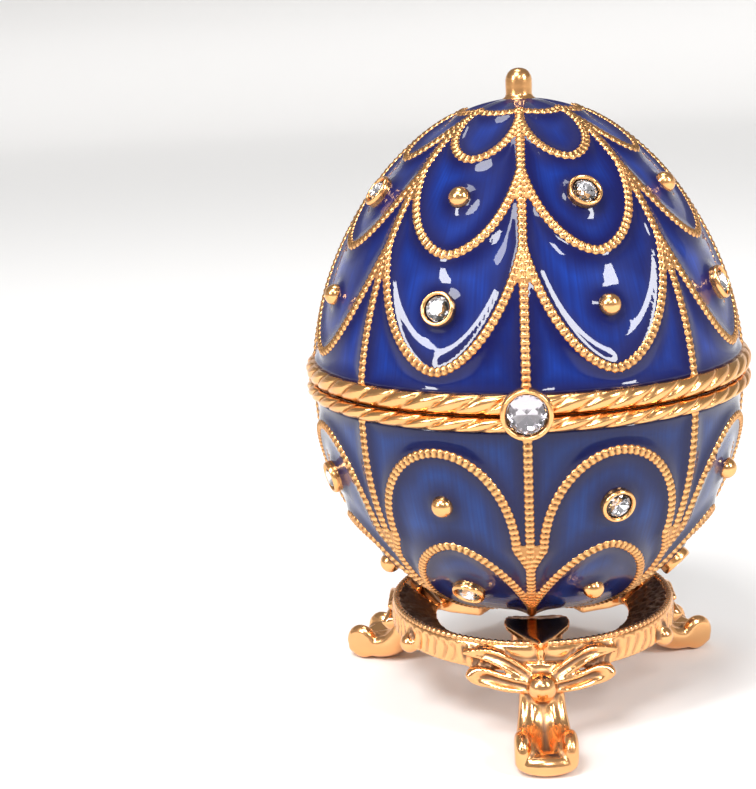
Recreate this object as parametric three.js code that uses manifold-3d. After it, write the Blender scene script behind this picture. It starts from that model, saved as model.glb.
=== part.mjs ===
// Jewelled egg trinket box: a hinged, gilt, cast egg on a three-legged stand, set with clear stones.
// Millimetres, +Z up. The origin is on the surface that the box stands on, under the egg's axis.
// The clasp and one foot face the front, -Y; the hinge is at the back, +Y.
import * as THREE from 'three';
import { mergeVertices } from 'three/addons/utils/BufferGeometryUtils.js';
import Module from 'manifold-3d';

const wasm = await Module();
wasm.setup();

// ---- Driving dimensions ----
const EGG_RADIUS = 21;            // enamel surface, at the seam
const SEAM_Z = 33.75;             // height of the seam between bowl and lid
const UPPER = { height: 26.15, round: 1.656, blunt: 2.006 };
const LOWER = { height: 24.25, round: 2.314, blunt: 2.135 };
const RIM_GAP = 0.3;              // between the two flat rims
const WALL = 2.2;                 // enamel, casting and lining together
const INNER_SIDES = 20;

const PANELS = 8;
const PANEL_DEG = 360 / PANELS;
const WIRE_HALF = 0.45;           // half the width of the gold wires
const WIRE_LIFT = 0.45;           // how far they stand above the enamel

const ROPE_RADIUS = 22;           // crest of the rope mouldings at the seam
const ROPE_TWIST = 0.35;          // depth between two strands
const LID_ROPE = 1.7;             // height of each rope
const BOWL_ROPE = 1.3;

// Scallops of the lid and arches of the bowl: the height above the seam of the lowest (or highest)
// point of each curve, and how far it climbs (or falls) to the rib.
const SCALLOPS = [
  { middle: 24.95, rise: 0.2 },
  { middle: 21.2, rise: 2.7 },
  { middle: 13.4, rise: 5.6 },
  { middle: 3.6, rise: 8.4 },
];
const ARCHES = [
  { middle: -3.6, rise: -9.3, horseshoe: 18.8 },
  { middle: -12.85, rise: -6.3 },
];

const LID_JEWELS = [18.1, 8.9];   // heights of the jewels above the seam
const BOWL_JEWELS = [-8.7, -18.25];

const CUP = { outer: 1.6, pocket: 1.28, proud: 0.85, depth: 0.95, root: 1.1, sides: 8 };
const STUD = { radius: 1.02, proud: 1.15, root: 0.9, sides: 6 };
const STONE = { radius: 1.03, table: 0.58, crown: 0.38, pavilion: 0.42, sides: 8 };

const FINIAL = { radius: 1.25, base: 1.75, height: 3, root: 1.2, sides: 10 };

const CLASP = { outer: 2.3, pocket: 1.98, stone: 1.7, flatten: 0.75, z: 0.6, back: 22.35, front: 23.7, depth: 1.15,
  sides: 12 };

const HINGE = { y: 22.54, knuckle: 1.25, bore: 0.8, pin: 0.5, pinLength: 10.6, flat: 21, sides: 10 };
const LID_KNUCKLE = 3.4;          // length of the lid's knuckle
const BOWL_KNUCKLE = 3;           // length of each of the bowl's two
const KNUCKLE_GAP = 0.3;

const MAGNET = { y: -16, cup: 3.1, pocket: 2.75, disc: 2.45, thickness: 1.1, depth: 1.7, height: 3.2, sides: 12 };

// The stand: a seat ring on three legs. Outward distances are from the egg's axis.
const RING = { outer: 14.3, inner: 9.8, top: 10, bottom: 7.2, sides: 30 };
const LEGS = 3;
const LEG_YAW = 2.9;              // the stand is set a little askew under the egg
const SEAT_GAP = WIRE_LIFT + 0.3; // between the stand and the egg's enamel, so the wires clear it
const BLOCK = { top: 10.5, lip: 0.7, bottom: 7.5, prow: 15.2, shoulder: 9.4, inner: 5.4, half: 3.2, waist: 0.8 };
const KEEL = { half: 0.45, out: 14.5, bottom: 7, top: 9.8 };
const KNEE = { radius: 1.4, out: 15.7, z: 6.3, sides: 8 };
const BEAD = { radius: 1, out: 14.4, z: 7.7, sides: 6 };

const GOLD = new THREE.MeshStandardMaterial({ color: 0xe0a868, roughness: 0.22, metalness: 1 });
const STEEL = new THREE.MeshStandardMaterial({ color: 0x8b93a0, roughness: 0.3, metalness: 1 });
const CRYSTAL = new THREE.MeshStandardMaterial({ color: 0xe8e8f0, roughness: 0.05, metalness: 0 });

const rad = THREE.MathUtils.degToRad;

// ---- The egg's form ----
// Radius of the egg at a height above (or, negative, below) the seam, shrunk inwards by an inset.
function eggRadius(height, inset = 0) {
  const half = height >= 0 ? UPPER : LOWER;
  const reach = Math.min(Math.abs(height) / (half.height - inset), 1);
  return (EGG_RADIUS - inset) * (1 - reach ** half.round) ** (1 / half.blunt);
}

// Change of that radius with height.
function eggSlope(height) {
  const step = 0.01;
  return (eggRadius(height + step) - eggRadius(height - step)) / (2 * step);
}

// ---- Helpers for solids ----
// A closed geometry as a solid that can be joined and cut.
function solid(geometry) {
  const bare = geometry.index ? geometry.clone() : mergeVertices(geometry);
  bare.deleteAttribute('normal');
  bare.deleteAttribute('uv');
  const merged = mergeVertices(bare, 1e-4);
  const source = merged.index.array;
  const faces = [];
  for (let i = 0; i < source.length; i += 3) {
    const [a, b, c] = source.slice(i, i + 3);
    if (a !== b && b !== c && c !== a) faces.push(a, b, c);
  }
  const vertProperties = new Float32Array(merged.attributes.position.array);
  const triVerts = new Uint32Array(faces);
  return new wasm.Manifold(new wasm.Mesh({ numProp: 3, vertProperties, triVerts }));
}

// A solid as a named mesh.
function mesh(name, body, material) {
  const result = body.getMesh();
  const geometry = new THREE.BufferGeometry();
  geometry.setAttribute('position', new THREE.BufferAttribute(result.vertProperties.slice(), 3));
  geometry.setIndex(new THREE.BufferAttribute(result.triVerts.slice(), 1));
  geometry.computeVertexNormals();
  return named(name, geometry, material);
}

function named(name, geometry, material) {
  const result = new THREE.Mesh(geometry, material);
  result.name = name;
  return result;
}

function joinAll(first, others) {
  return others.reduce((sum, other) => sum.add(other), first);
}

// A turned shape about +Z from [radius, z] pairs that run from its lowest point to its highest.
function turned(profile, sides) {
  const points = profile.map(([r, z]) => new THREE.Vector2(r, z));
  return new THREE.LatheGeometry(points, sides).rotateX(Math.PI / 2);
}

function cylinder(radius, bottom, top, sides) {
  return turned([[0, bottom], [radius, bottom], [radius, top], [0, top]], sides);
}

function box(x, y, z, sizeX, sizeY, sizeZ) {
  return new THREE.BoxGeometry(sizeX, sizeY, sizeZ).translate(x, y, z);
}

// Where something sits on the egg: a frame whose +Z is the surface's outward normal.
function onEgg(degrees, height) {
  const slope = eggSlope(height);
  const angle = rad(degrees);
  const radius = eggRadius(height);
  const frame = new THREE.Object3D();
  const normal = new THREE.Vector3(Math.sin(angle), -Math.cos(angle), -slope).normalize();
  frame.position.set(radius * Math.sin(angle), -radius * Math.cos(angle), SEAM_Z + height);
  frame.quaternion.setFromUnitVectors(new THREE.Vector3(0, 0, 1), normal);
  frame.updateMatrix();
  return frame;
}

// ---- Shell outsides: a turned body whose columns follow the ribs and whose rows follow the wires ----
// Columns of one panel, as degrees from its left rib: rib crest, rib foot, two more, and mirrored.
const INNER_COLUMNS = [9.5, 18.5];
const COLUMNS = 2 * (INNER_COLUMNS.length + 1) + 1;

function columnAngle(column, radius) {
  const foot = Math.min(THREE.MathUtils.radToDeg(WIRE_HALF / Math.max(radius, 1)), 6);
  const half = [0, foot, ...INNER_COLUMNS];
  return column < half.length ? half[column] : PANEL_DEG - half[COLUMNS - column];
}

// Height of a scallop's or an arch's centre line at an angle from the rib.
function curveHeight(curve, degrees) {
  const middle = PANEL_DEG / 2;
  const away = Math.abs(degrees - middle);
  if (curve.horseshoe) {
    const across = Math.min(away / curve.horseshoe, 1);
    return curve.middle + curve.rise * (1 - Math.sqrt(1 - across ** 2));
  }
  const across = Math.min(away / middle, 0.9);
  return curve.middle + curve.rise * (across ** 1.7 + 0.25 * across ** 4);
}

// Half the wire's width, measured along the height, where it crosses a column.
function wireReach(curve, degrees) {
  const step = 0.5;
  const height = curveHeight(curve, degrees);
  const change = curveHeight(curve, degrees + step) - curveHeight(curve, degrees - step);
  const stretch = Math.hypot(1, eggSlope(height));
  const climb = change * stretch / (rad(2 * step) * eggRadius(height));
  return WIRE_HALF * Math.min(Math.hypot(1, climb), 2.2) / stretch;
}

// A row of points round the egg: heightAt gives its height at an angle, lift how far it stands proud.
function wireRow(curve, side, lift) {
  return {
    heightAt: (degrees) => curveHeight(curve, degrees) + side * wireReach(curve, degrees),
    lift,
  };
}

function levelRow(height, lift = 0) {
  return { heightAt: () => height, lift };
}

function betweenRows(first, second) {
  const heightAt = (degrees) => (first.heightAt(degrees) + second.heightAt(degrees)) / 2;
  return { heightAt, lift: 0 };
}

// Rope rows leave the egg's form: the strands slant, so each row shifts the crests by one column.
function ropeRow(height, radius, shift) {
  return { rope: true, height, radius, shift };
}

function shellOutside(rows) {
  const profile = rows.map((row, i) => [i === 0 || i === rows.length - 1 ? 0 : 1, i]);
  const sides = PANELS * COLUMNS;
  const geometry = turned(profile, sides);
  const position = geometry.attributes.position;
  for (let side = 0; side <= sides; side++) {
    const column = side % COLUMNS;
    const panel = Math.floor(side / COLUMNS) % PANELS;
    rows.forEach((row, i) => {
      const [radius, degrees, height] = rowPoint(row, column, side % sides);
      const angle = rad(panel * PANEL_DEG + degrees);
      const vertex = side * rows.length + i;
      position.setXYZ(vertex, radius * Math.sin(angle), -radius * Math.cos(angle), SEAM_Z + height);
    });
  }
  return solid(geometry);
}

function rowPoint(row, column, side) {
  if (row.axis) return [0, 0, row.height];
  if (row.rope) {
    const crest = (side + row.shift) % 2 === 0 ? 0 : ROPE_TWIST;
    return [row.radius - crest, column * PANEL_DEG / COLUMNS, row.height];
  }
  const degrees = columnAngle(column, eggRadius(row.heightAt(PANEL_DEG / 2)));
  const beside = column === 1 || column === COLUMNS - 1;
  const height = row.heightAt(column === 0 ? columnAngle(1, EGG_RADIUS) : degrees);
  const slope = eggSlope(height);
  const lift = column === 0 ? WIRE_LIFT : row.lift * (beside ? 0.8 : 1);
  const along = lift / Math.hypot(1, slope);
  return [eggRadius(height) + along, degrees, height - slope * along];
}

// ---- Ornaments on the shells ----
function studOn(degrees, height) {
  const { radius, proud, root, sides } = STUD;
  const profile = [[0, -root], [radius, -root], [radius, 0.4 * proud], [0.68 * radius, 0.86 * proud], [0, proud]];
  return solid(turned(profile, sides).applyMatrix4(onEgg(degrees, height).matrix));
}

// A cup is first joined to the shell as a full boss and then hollowed for its stone.
function cupOn(degrees, height) {
  const boss = turned([[0, -CUP.root], [CUP.outer, -CUP.root], [CUP.outer - 0.1, CUP.proud], [0, CUP.proud]], CUP.sides);
  return solid(boss.applyMatrix4(onEgg(degrees, height).matrix));
}

function pocketOn(degrees, height) {
  const floor = CUP.proud - CUP.depth;
  const pocket = cylinder(CUP.pocket, floor, CUP.proud + 0.5, CUP.sides);
  return solid(pocket.applyMatrix4(onEgg(degrees, height).matrix));
}

// Stones and studs alternate like the squares of a chequerboard.
function jewelPlaces(heights) {
  const places = [];
  for (let panel = 0; panel < PANELS; panel++) {
    heights.forEach((height, tier) => {
      const degrees = (panel + 0.5) * PANEL_DEG;
      places.push({ degrees, height, stone: (panel + tier) % 2 === 0 });
    });
  }
  return places;
}

function jewelled(shell, places) {
  const stones = places.filter((place) => place.stone);
  const studs = places.filter((place) => !place.stone);
  const bosses = stones.map(({ degrees, height }) => cupOn(degrees, height));
  const domes = studs.map(({ degrees, height }) => studOn(degrees, height));
  const full = joinAll(shell, [...bosses, ...domes]);
  return stones.reduce((body, { degrees, height }) => body.subtract(pocketOn(degrees, height)), full);
}

function brilliant(radius) {
  const size = radius / STONE.radius;
  const profile = [[0, -STONE.pavilion], [STONE.radius, 0], [STONE.table, STONE.crown], [0, STONE.crown]];
  return turned(profile.map(([r, z]) => [r * size, z * size]), STONE.sides);
}

function crystals(prefix, places) {
  return places.filter((place) => place.stone).map(({ degrees, height }, i) => {
    const stone = named(`${prefix}_crystal_${i + 1}`, brilliant(STONE.radius), CRYSTAL);
    const seat = onEgg(degrees, height);
    const girdle = CUP.proud - CUP.depth + STONE.pavilion + 0.22;
    stone.position.copy(seat.position);
    stone.quaternion.copy(seat.quaternion);
    stone.translateZ(girdle);
    return stone;
  });
}

// ---- Hinge ----
function rod(radius, from, to) {
  const bar = cylinder(radius, from, to, HINGE.sides);
  return bar.rotateY(Math.PI / 2).translate(0, HINGE.y, SEAM_Z);
}

// A knuckle from one x to another, with the leaf that ties it to the lid (+1) or the bowl (-1).
function knuckle(from, to, side) {
  const leafHeight = HINGE.knuckle - RIM_GAP / 2;
  const leafZ = SEAM_Z + side * (RIM_GAP + leafHeight) / 2;
  const tie = box((from + to) / 2, HINGE.y - 1.2, leafZ, to - from, 2.4, leafHeight);
  return solid(rod(HINGE.knuckle, from, to)).add(solid(tie)).subtract(solid(rod(HINGE.bore, from - 1, to + 1)));
}

// The mouldings stop at a flat behind the hinge.
function hingeFlat() {
  const width = LID_KNUCKLE + 2 * BOWL_KNUCKLE + 3 * KNUCKLE_GAP;
  return solid(box(0, HINGE.flat + 2, SEAM_Z, width, 4, 4.4));
}

// ---- Magnet cups: a round cup inside the front of each rim ----
function magnetCup(side) {
  const face = SEAM_Z + side * RIM_GAP / 2;
  const ends = [face, face + side * MAGNET.height].sort((a, b) => a - b);
  return solid(cylinder(MAGNET.cup, ends[0], ends[1], MAGNET.sides).translate(0, MAGNET.y, 0));
}

function magnetPocket(side) {
  const face = SEAM_Z + side * RIM_GAP / 2;
  const ends = [face - side, face + side * MAGNET.depth].sort((a, b) => a - b);
  return solid(cylinder(MAGNET.pocket, ends[0], ends[1], MAGNET.sides).translate(0, MAGNET.y, 0));
}

function magnet(name, side) {
  const disc = cylinder(MAGNET.disc, 0, MAGNET.thickness, MAGNET.sides);
  const result = named(name, disc, STEEL);
  const near = RIM_GAP / 2 + 0.3;
  result.position.set(0, MAGNET.y, SEAM_Z + (side > 0 ? near : -near - MAGNET.thickness));
  return result;
}

// ---- The two halves of the egg ----
// The hollow of one half, from beyond the rim to the pole.
function hollow(side) {
  const half = side > 0 ? UPPER : LOWER;
  const depth = half.height - WALL;
  const profile = [];
  const steps = 5;
  for (let i = 0; i <= steps; i++) {
    const height = side * depth * Math.sin(Math.PI / 2 * i / steps);
    profile.push([i === steps ? 0 : eggRadius(height, WALL), SEAM_Z + height]);
  }
  profile.unshift([0, SEAM_Z - side], [EGG_RADIUS - WALL, SEAM_Z - side]);
  if (side < 0) profile.reverse();
  return solid(turned(profile, INNER_SIDES));
}

function finial() {
  const { radius, base, height, root, sides } = FINIAL;
  const profile = [[0, -root], [base, -root], [base, 0], [radius, 0.5], [radius, height - 0.95],
    [0.7 * radius, height - 0.25], [0, height]];
  return solid(turned(profile, sides).translate(0, 0, SEAM_Z + UPPER.height));
}

function claspCup() {
  const { outer, pocket, z, back, front, depth, sides } = CLASP;
  const facing = (geometry) => geometry.rotateX(Math.PI / 2).translate(0, 0, SEAM_Z + z);
  const cup = solid(facing(cylinder(outer, back, front, sides)));
  const neckHeight = z + 1.6 - RIM_GAP / 2;
  const neck = box(0, -(back - 1), SEAM_Z + RIM_GAP / 2 + neckHeight / 2, 3, 2.4, neckHeight);
  const hole = solid(facing(cylinder(pocket, front - depth, front + 1, sides)));
  return { body: cup.add(solid(neck)), hole };
}

function claspCrystal() {
  const geometry = brilliant(CLASP.stone).scale(1, 1, CLASP.flatten);
  const stone = named('clasp_crystal', geometry, CRYSTAL);
  const pavilion = CLASP.flatten * STONE.pavilion * CLASP.stone / STONE.radius;
  stone.position.set(0, -(CLASP.front - CLASP.depth + pavilion + 0.25), SEAM_Z + CLASP.z);
  stone.rotation.x = Math.PI / 2;
  return stone;
}

function lidRows() {
  const [collar, first, second, third] = SCALLOPS;
  const rim = RIM_GAP / 2;
  const thirdTop = wireRow(third, 1, 0);
  const secondFoot = wireRow(second, -1, 0);
  return [
    { axis: true, height: rim },
    ropeRow(rim, ROPE_RADIUS - 0.2, 0),
    ropeRow(rim + 0.6 * LID_ROPE, ROPE_RADIUS, 1),
    levelRow(rim + LID_ROPE + 0.05),
    wireRow(third, -1, 0),
    wireRow(third, 0, WIRE_LIFT),
    thirdTop,
    betweenRows(thirdTop, secondFoot),
    secondFoot,
    wireRow(second, 0, WIRE_LIFT),
    wireRow(second, 1, 0),
    wireRow(first, -1, 0),
    wireRow(first, 0, WIRE_LIFT),
    wireRow(first, 1, 0),
    wireRow(collar, -1, 0),
    wireRow(collar, 0, WIRE_LIFT),
    { axis: true, height: UPPER.height },
  ];
}

function bowlRows() {
  const [upper, lower] = ARCHES;
  const rim = -RIM_GAP / 2;
  const upperFoot = wireRow(upper, -1, 0);
  const lowerTop = wireRow(lower, 1, 0);
  const lowerFoot = wireRow(lower, -1, 0);
  const base = levelRow(-0.97 * LOWER.height);
  return [
    { axis: true, height: -LOWER.height },
    base,
    betweenRows(base, lowerFoot),
    lowerFoot,
    wireRow(lower, 0, WIRE_LIFT),
    lowerTop,
    betweenRows(lowerTop, upperFoot),
    upperFoot,
    wireRow(upper, 0, WIRE_LIFT),
    wireRow(upper, 1, 0),
    levelRow(rim - BOWL_ROPE - 0.05),
    ropeRow(rim - 0.6 * BOWL_ROPE, ROPE_RADIUS, 1),
    ropeRow(rim, ROPE_RADIUS - 0.2, 0),
    { axis: true, height: rim },
  ];
}

function lidShell() {
  const clasp = claspCup();
  const hollowed = shellOutside(lidRows()).subtract(hollow(1)).subtract(hingeFlat());
  const dressed = jewelled(hollowed, jewelPlaces(LID_JEWELS));
  const half = LID_KNUCKLE / 2;
  const fitted = joinAll(dressed, [finial(), clasp.body, knuckle(-half, half, 1), magnetCup(1)]);
  return fitted.subtract(clasp.hole).subtract(magnetPocket(1));
}

function bowlShell() {
  const hollowed = shellOutside(bowlRows()).subtract(hollow(-1)).subtract(hingeFlat());
  const dressed = jewelled(hollowed, jewelPlaces(BOWL_JEWELS));
  const near = LID_KNUCKLE / 2 + KNUCKLE_GAP;
  const far = near + BOWL_KNUCKLE;
  const fitted = joinAll(dressed, [knuckle(near, far, -1), knuckle(-far, -near, -1), magnetCup(-1)]);
  return fitted.subtract(magnetPocket(-1));
}

// ---- Stand ----
// A body skinned over rings of points, [across, outward, z] each, and closed at both ends.
function skinned(rings) {
  const sides = rings[0].length;
  const middle = (ring) => [0, 1, 2].map((i) => ring.reduce((sum, point) => sum + point[i], 0) / sides);
  const profile = [0, ...rings.map(() => 1), 0].map((radius, i) => [radius, i]);
  const geometry = turned(profile, sides);
  const position = geometry.attributes.position;
  const rows = profile.length;
  for (let side = 0; side <= sides; side++) {
    for (let row = 0; row < rows; row++) {
      const ring = rings[Math.min(Math.max(row - 1, 0), rings.length - 1)];
      const end = row === 0 || row === rows - 1;
      const [across, out, z] = end ? middle(ring) : ring[side % sides];
      position.setXYZ(side * rows + row, across, -out, z);
    }
  }
  return solid(geometry);
}

function seatRing() {
  const { outer, inner, top, bottom, sides } = RING;
  const profile = [[inner + 0.3, bottom], [outer, bottom], [outer + 0.2, top - 0.3], [outer - 0.7, top],
    [inner, bottom + 0.8], [inner + 0.3, bottom]];
  return solid(turned(profile, sides));
}

// The flat-topped block under the egg, with its prow pointing outwards.
function block() {
  const { top, lip, bottom, prow, shoulder, inner, half, waist } = BLOCK;
  const outline = [[0, -prow], [half, -shoulder], [0.8 * half, -inner], [-0.8 * half, -inner], [-half, -shoulder]];
  const slab = (size, from, to) => {
    const shape = new THREE.Shape(outline.map(([x, y]) => new THREE.Vector2(x * size, y * (1 + size) / 2)));
    return solid(new THREE.ExtrudeGeometry(shape, { depth: to - from, bevelEnabled: false }).translate(0, 0, from));
  };
  const keelZ = (KEEL.top + KEEL.bottom) / 2;
  const keel = box(0, -KEEL.out, keelZ, 2 * KEEL.half, 1, KEEL.top - KEEL.bottom);
  return slab(1, top - lip, top).add(slab(waist, bottom, top - lip / 2)).add(solid(keel));
}

// Stations down the leg: outward place, height, heading in degrees below level outwards,
// half width, half thickness, and how deep the valley down its front is.
const LEG_STATIONS = [
  [13.5, 8.4, 90, 2.3, 1.5, 0.15],
  [14.3, 5.8, 80, 2.2, 1.5, 0.2],
  [15, 3.9, 60, 2.3, 1.5, 0.3],
  [16.4, 2.2, 30, 2.6, 1.6, 0.5],
  [18.2, 1.6, 0, 2.9, 1.6, 0.8],
  [19.9, 1.9, -5, 3.1, 1.95, 1.7],
  [21.2, 1.3, 20, 3, 1.2, 0.4],
  [21.8, 0.9, 30, 2.3, 0.6, 0],
];
// The leg's section, across and towards the front, in half widths and half thicknesses.
const LEG_SECTION = [[-0.7, -1], [0.7, -1], [1, 0.2], [0.7, 1], [0.25, 1], [-0.25, 1], [-0.7, 1], [-1, 0.2]];

function leg() {
  const rings = LEG_STATIONS.map(([out, z, heading, half, thick, valley]) => {
    const forward = [Math.sin(rad(heading)), Math.cos(rad(heading))];
    return LEG_SECTION.map(([across, front]) => {
      const hollowed = Math.abs(across) < 0.5 ? valley : 0;
      const reach = front * thick - hollowed;
      return [across * half, out + forward[0] * reach, Math.max(z + forward[1] * reach, 0)];
    });
  });
  return skinned(rings);
}

// A leaf sweeps sideways from the knee round the outside of the ring. Its stations are
// [degrees from the leg, outward distance, z, half height]; side is +1 or -1.
const LEAVES = [
  [[3, 15, 6.7, 0.5], [13, 15.2, 7, 0.85], [25, 14.7, 6.9, 0.8]],
  [[3, 15, 7, 0.4], [12, 15, 8.6, 0.65], [23, 14.5, 8.6, 0.4]],
];
const LEAF_SECTION = [[-1, 0], [0, -1], [1, 0], [0, 1]];

function leaf(stations, side) {
  const rings = stations.map(([degrees, out, z, half]) => {
    const angle = rad(degrees * side);
    return LEAF_SECTION.map(([outward, up]) => {
      const reach = out + outward * 0.5;
      return [reach * Math.sin(angle), reach * Math.cos(angle), z + up * half];
    });
  });
  return skinned(side > 0 ? rings.reverse() : rings);
}

function ball(radius, sides) {
  const steps = sides / 2;
  const profile = [];
  for (let i = 0; i <= steps; i++) {
    const angle = Math.PI * i / steps;
    profile.push([i % steps === 0 ? 0 : radius * Math.sin(angle), -radius * Math.cos(angle)]);
  }
  return turned(profile, sides);
}

function legGroup() {
  const knee = solid(ball(KNEE.radius, KNEE.sides).translate(0, -KNEE.out, KNEE.z));
  const bead = solid(ball(BEAD.radius, BEAD.sides).translate(0, -BEAD.out, BEAD.z).rotateZ(Math.PI / LEGS));
  const leaves = LEAVES.flatMap((stations) => [leaf(stations, -1), leaf(stations, 1)]);
  return joinAll(leg(), [block(), knee, bead, ...leaves]);
}

function standBody() {
  const single = mesh('leg', legGroup(), GOLD).geometry;
  const legs = [];
  for (let i = 0; i < LEGS; i++) {
    legs.push(solid(single.clone().rotateZ(rad(LEG_YAW + i * 360 / LEGS))));
  }
  return joinAll(seatRing(), legs).subtract(eggClearance());
}

// The room that the stand leaves for the underside of the egg.
function eggClearance() {
  const profile = [];
  const steps = 6;
  for (let i = 0; i <= steps; i++) {
    const height = -(LOWER.height + SEAT_GAP) * Math.cos(0.4 * Math.PI * i / steps);
    profile.push([i === 0 ? 0 : eggRadius(height, -SEAT_GAP), SEAM_Z + height]);
  }
  profile.push([0, profile[steps][1]]);
  return solid(turned(profile, RING.sides));
}

const egg = new THREE.Group();
egg.add(mesh('stand', standBody(), GOLD));
egg.add(mesh('bowl_shell', bowlShell(), GOLD));
egg.add(mesh('lid_shell', lidShell(), GOLD));
egg.add(named('hinge_pin', rod(HINGE.pin, -HINGE.pinLength / 2, HINGE.pinLength / 2), STEEL));
egg.add(magnet('bowl_magnet', -1), magnet('lid_magnet', 1));
egg.add(claspCrystal());
egg.add(...crystals('lid', jewelPlaces(LID_JEWELS)), ...crystals('bowl', jewelPlaces(BOWL_JEWELS)));

export default egg;
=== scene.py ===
# %% [markdown]
# # A jewelled egg trinket box
# The real box is a gilt zinc casting in two hinged halves. Blue enamel is melted into the cells
# between its raised wires, small foiled stones are glued into cups, and a cream enamel lines the
# inside. It stands on a separate cast stand. Here each of these is a piece of its own, built
# with bmesh in millimetres and shrunk to metres at the end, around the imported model's frame.

import math
from functools import lru_cache

import bmesh
import bpy
from mathutils import Matrix, Vector, noise


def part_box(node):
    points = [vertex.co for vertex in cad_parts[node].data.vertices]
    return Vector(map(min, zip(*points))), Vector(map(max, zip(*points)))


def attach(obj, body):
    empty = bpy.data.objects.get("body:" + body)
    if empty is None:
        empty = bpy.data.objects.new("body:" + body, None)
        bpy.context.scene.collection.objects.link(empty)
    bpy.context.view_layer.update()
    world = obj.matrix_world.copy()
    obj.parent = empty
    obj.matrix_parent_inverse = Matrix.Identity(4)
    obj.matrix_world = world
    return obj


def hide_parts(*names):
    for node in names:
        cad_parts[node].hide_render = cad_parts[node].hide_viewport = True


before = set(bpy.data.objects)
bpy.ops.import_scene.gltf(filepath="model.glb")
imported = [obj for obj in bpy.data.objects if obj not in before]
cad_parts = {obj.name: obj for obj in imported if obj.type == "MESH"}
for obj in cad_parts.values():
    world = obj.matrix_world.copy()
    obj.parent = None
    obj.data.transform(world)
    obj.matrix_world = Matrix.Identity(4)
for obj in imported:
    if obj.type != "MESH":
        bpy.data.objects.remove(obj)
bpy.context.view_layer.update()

# %% [markdown]
# ## Helpers
# Each form is a bmesh of its own in millimetres, so that merging its doubles and turning its
# faces outwards touches nothing else. A piece is one or more closed forms joined in one mesh, as a
# caster joins wax parts on one sprue. Every vertex carries a number for how hollow it lies, from 0
# on polished crests to 1 in pits, where the gilding is painted dark as shade and left rougher.

# %% Forms and pieces
MM = 0.001
rad = math.radians


def new_form():
    form = bmesh.new()
    form.verts.layers.float.new("hollow")
    return form


def closed(form, gap=1e-4):
    """Merge doubles, cap open ends and turn the faces outwards."""
    bmesh.ops.remove_doubles(form, verts=form.verts, dist=gap)
    ends = [edge for edge in form.edges if edge.is_boundary]
    if ends:
        bmesh.ops.holes_fill(form, edges=ends, sides=0)
    bmesh.ops.recalc_face_normals(form, faces=form.faces)
    return form


def placed(form, matrix):
    bmesh.ops.transform(form, matrix=matrix, verts=form.verts)
    return form


def softened(form, radius):
    """Round every edge off with a small bevel."""
    bmesh.ops.bevel(form, geom=form.edges[:], offset=radius, affect="EDGES", segments=2,
                    profile=0.5, material=-1, offset_type="OFFSET")
    return form


def soft_box_form(size, place, radius):
    """A cube that is bevelled at unit size, then stretched and put in its place."""
    form = new_form()
    bmesh.ops.create_cube(form, size=1)
    softened(form, radius)
    return placed(form, Matrix.Translation(place) @ Matrix.Diagonal((*size, 1)))


def turn(degrees):
    return Matrix.Rotation(rad(degrees), 4, "Z")


# %% Joining forms and making pieces
def join(forms, turns=(0,)):
    """One mesh from many forms, repeated at each of the turns round the egg's axis."""
    whole = new_form()
    for form in forms:
        scratch = bpy.data.meshes.new("scratch")
        form.to_mesh(scratch)
        form.free()
        for degrees in turns:
            before = len(whole.verts)
            whole.from_mesh(scratch)
            whole.verts.ensure_lookup_table()
            if degrees:
                bmesh.ops.transform(whole, matrix=turn(degrees), verts=whole.verts[before:])
        bpy.data.meshes.remove(scratch)
    return whole


def make_piece(form, name, materials, body, nodes=(), smooth=True):
    """A form as an object in metres that rides on its body and stands for the named nodes."""
    placed(form, Matrix.Scale(MM, 4))
    data = bpy.data.meshes.new(name)
    form.to_mesh(data)
    form.free()
    for material in materials:
        data.materials.append(material)
    data.polygons.foreach_set("use_smooth", [smooth] * len(data.polygons))
    piece = bpy.data.objects.new(name, data)
    bpy.context.scene.collection.objects.link(piece)
    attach(piece, body)
    if nodes:
        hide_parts(*nodes)
    print(f"{name}: {sum(len(face.vertices) - 2 for face in data.polygons)} triangles")
    return piece


# %% [markdown]
# ### Two ways to make a form
# Most of the box is turned, so a profile is spun round an axis. Wires, legs and leaves are swept:
# a flat grid has one row for each station and one column for each point of the section, and is
# then laid into place and closed. The grid gives the faces, so nothing is listed by hand.

# %% Spin and sweep
def spun(profile, steps, matrix=None):
    """A turned form from [radius, height] pairs. It starts and ends on the axis, or is a ring."""
    form = new_form()
    verts = [form.verts.new((radius, 0, height)) for radius, height in profile]
    ring = profile[0][0] > 0
    pairs = zip(verts, verts[1:] + verts[:1]) if ring else zip(verts, verts[1:])
    edges = [form.edges.new(pair) for pair in pairs]
    bmesh.ops.spin(form, geom=verts + edges, axis=(0, 0, 1), cent=(0, 0, 0), angle=math.tau,
                   steps=steps, use_merge=True)
    closed(form)
    return placed(form, matrix) if matrix else form


def swept(rings, hollows=None, loop=False):
    """A form through rings of points, one ring for each station, capped unless it is a loop."""
    form = new_form()
    layer = form.verts.layers.float["hollow"]
    stations, sides = len(rings), len(rings[0])
    along = stations if loop else stations - 1
    made = bmesh.ops.create_grid(form, x_segments=along, y_segments=sides, size=1)["verts"]
    for vert in made:
        station = round((vert.co.x + 1) / 2 * along) % stations
        point = round((vert.co.y + 1) / 2 * sides) % sides
        vert.co = rings[station][point]
        if hollows:
            vert[layer] = hollows[station][point]
    return closed(form, 1e-5)


# %% [markdown]
# ## The egg's form
# Both halves are superellipses turned round the axis, the lid taller and more pointed than the
# bowl. These few functions say where the enamel's surface is and which way it faces, and every
# wire, cup and stone takes its place from them, as it does in the solids.

# %% The egg's form
EGG_RADIUS = 21
SEAM_Z = 33.75
RIM = 0.15
UPPER = (26.15, 1.656, 2.006)
LOWER = (24.25, 2.314, 2.135)
WALL = 2.2
SLOPE_STEP = 0.01
ARC_STEPS = 400
TINY = 1e-9


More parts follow.
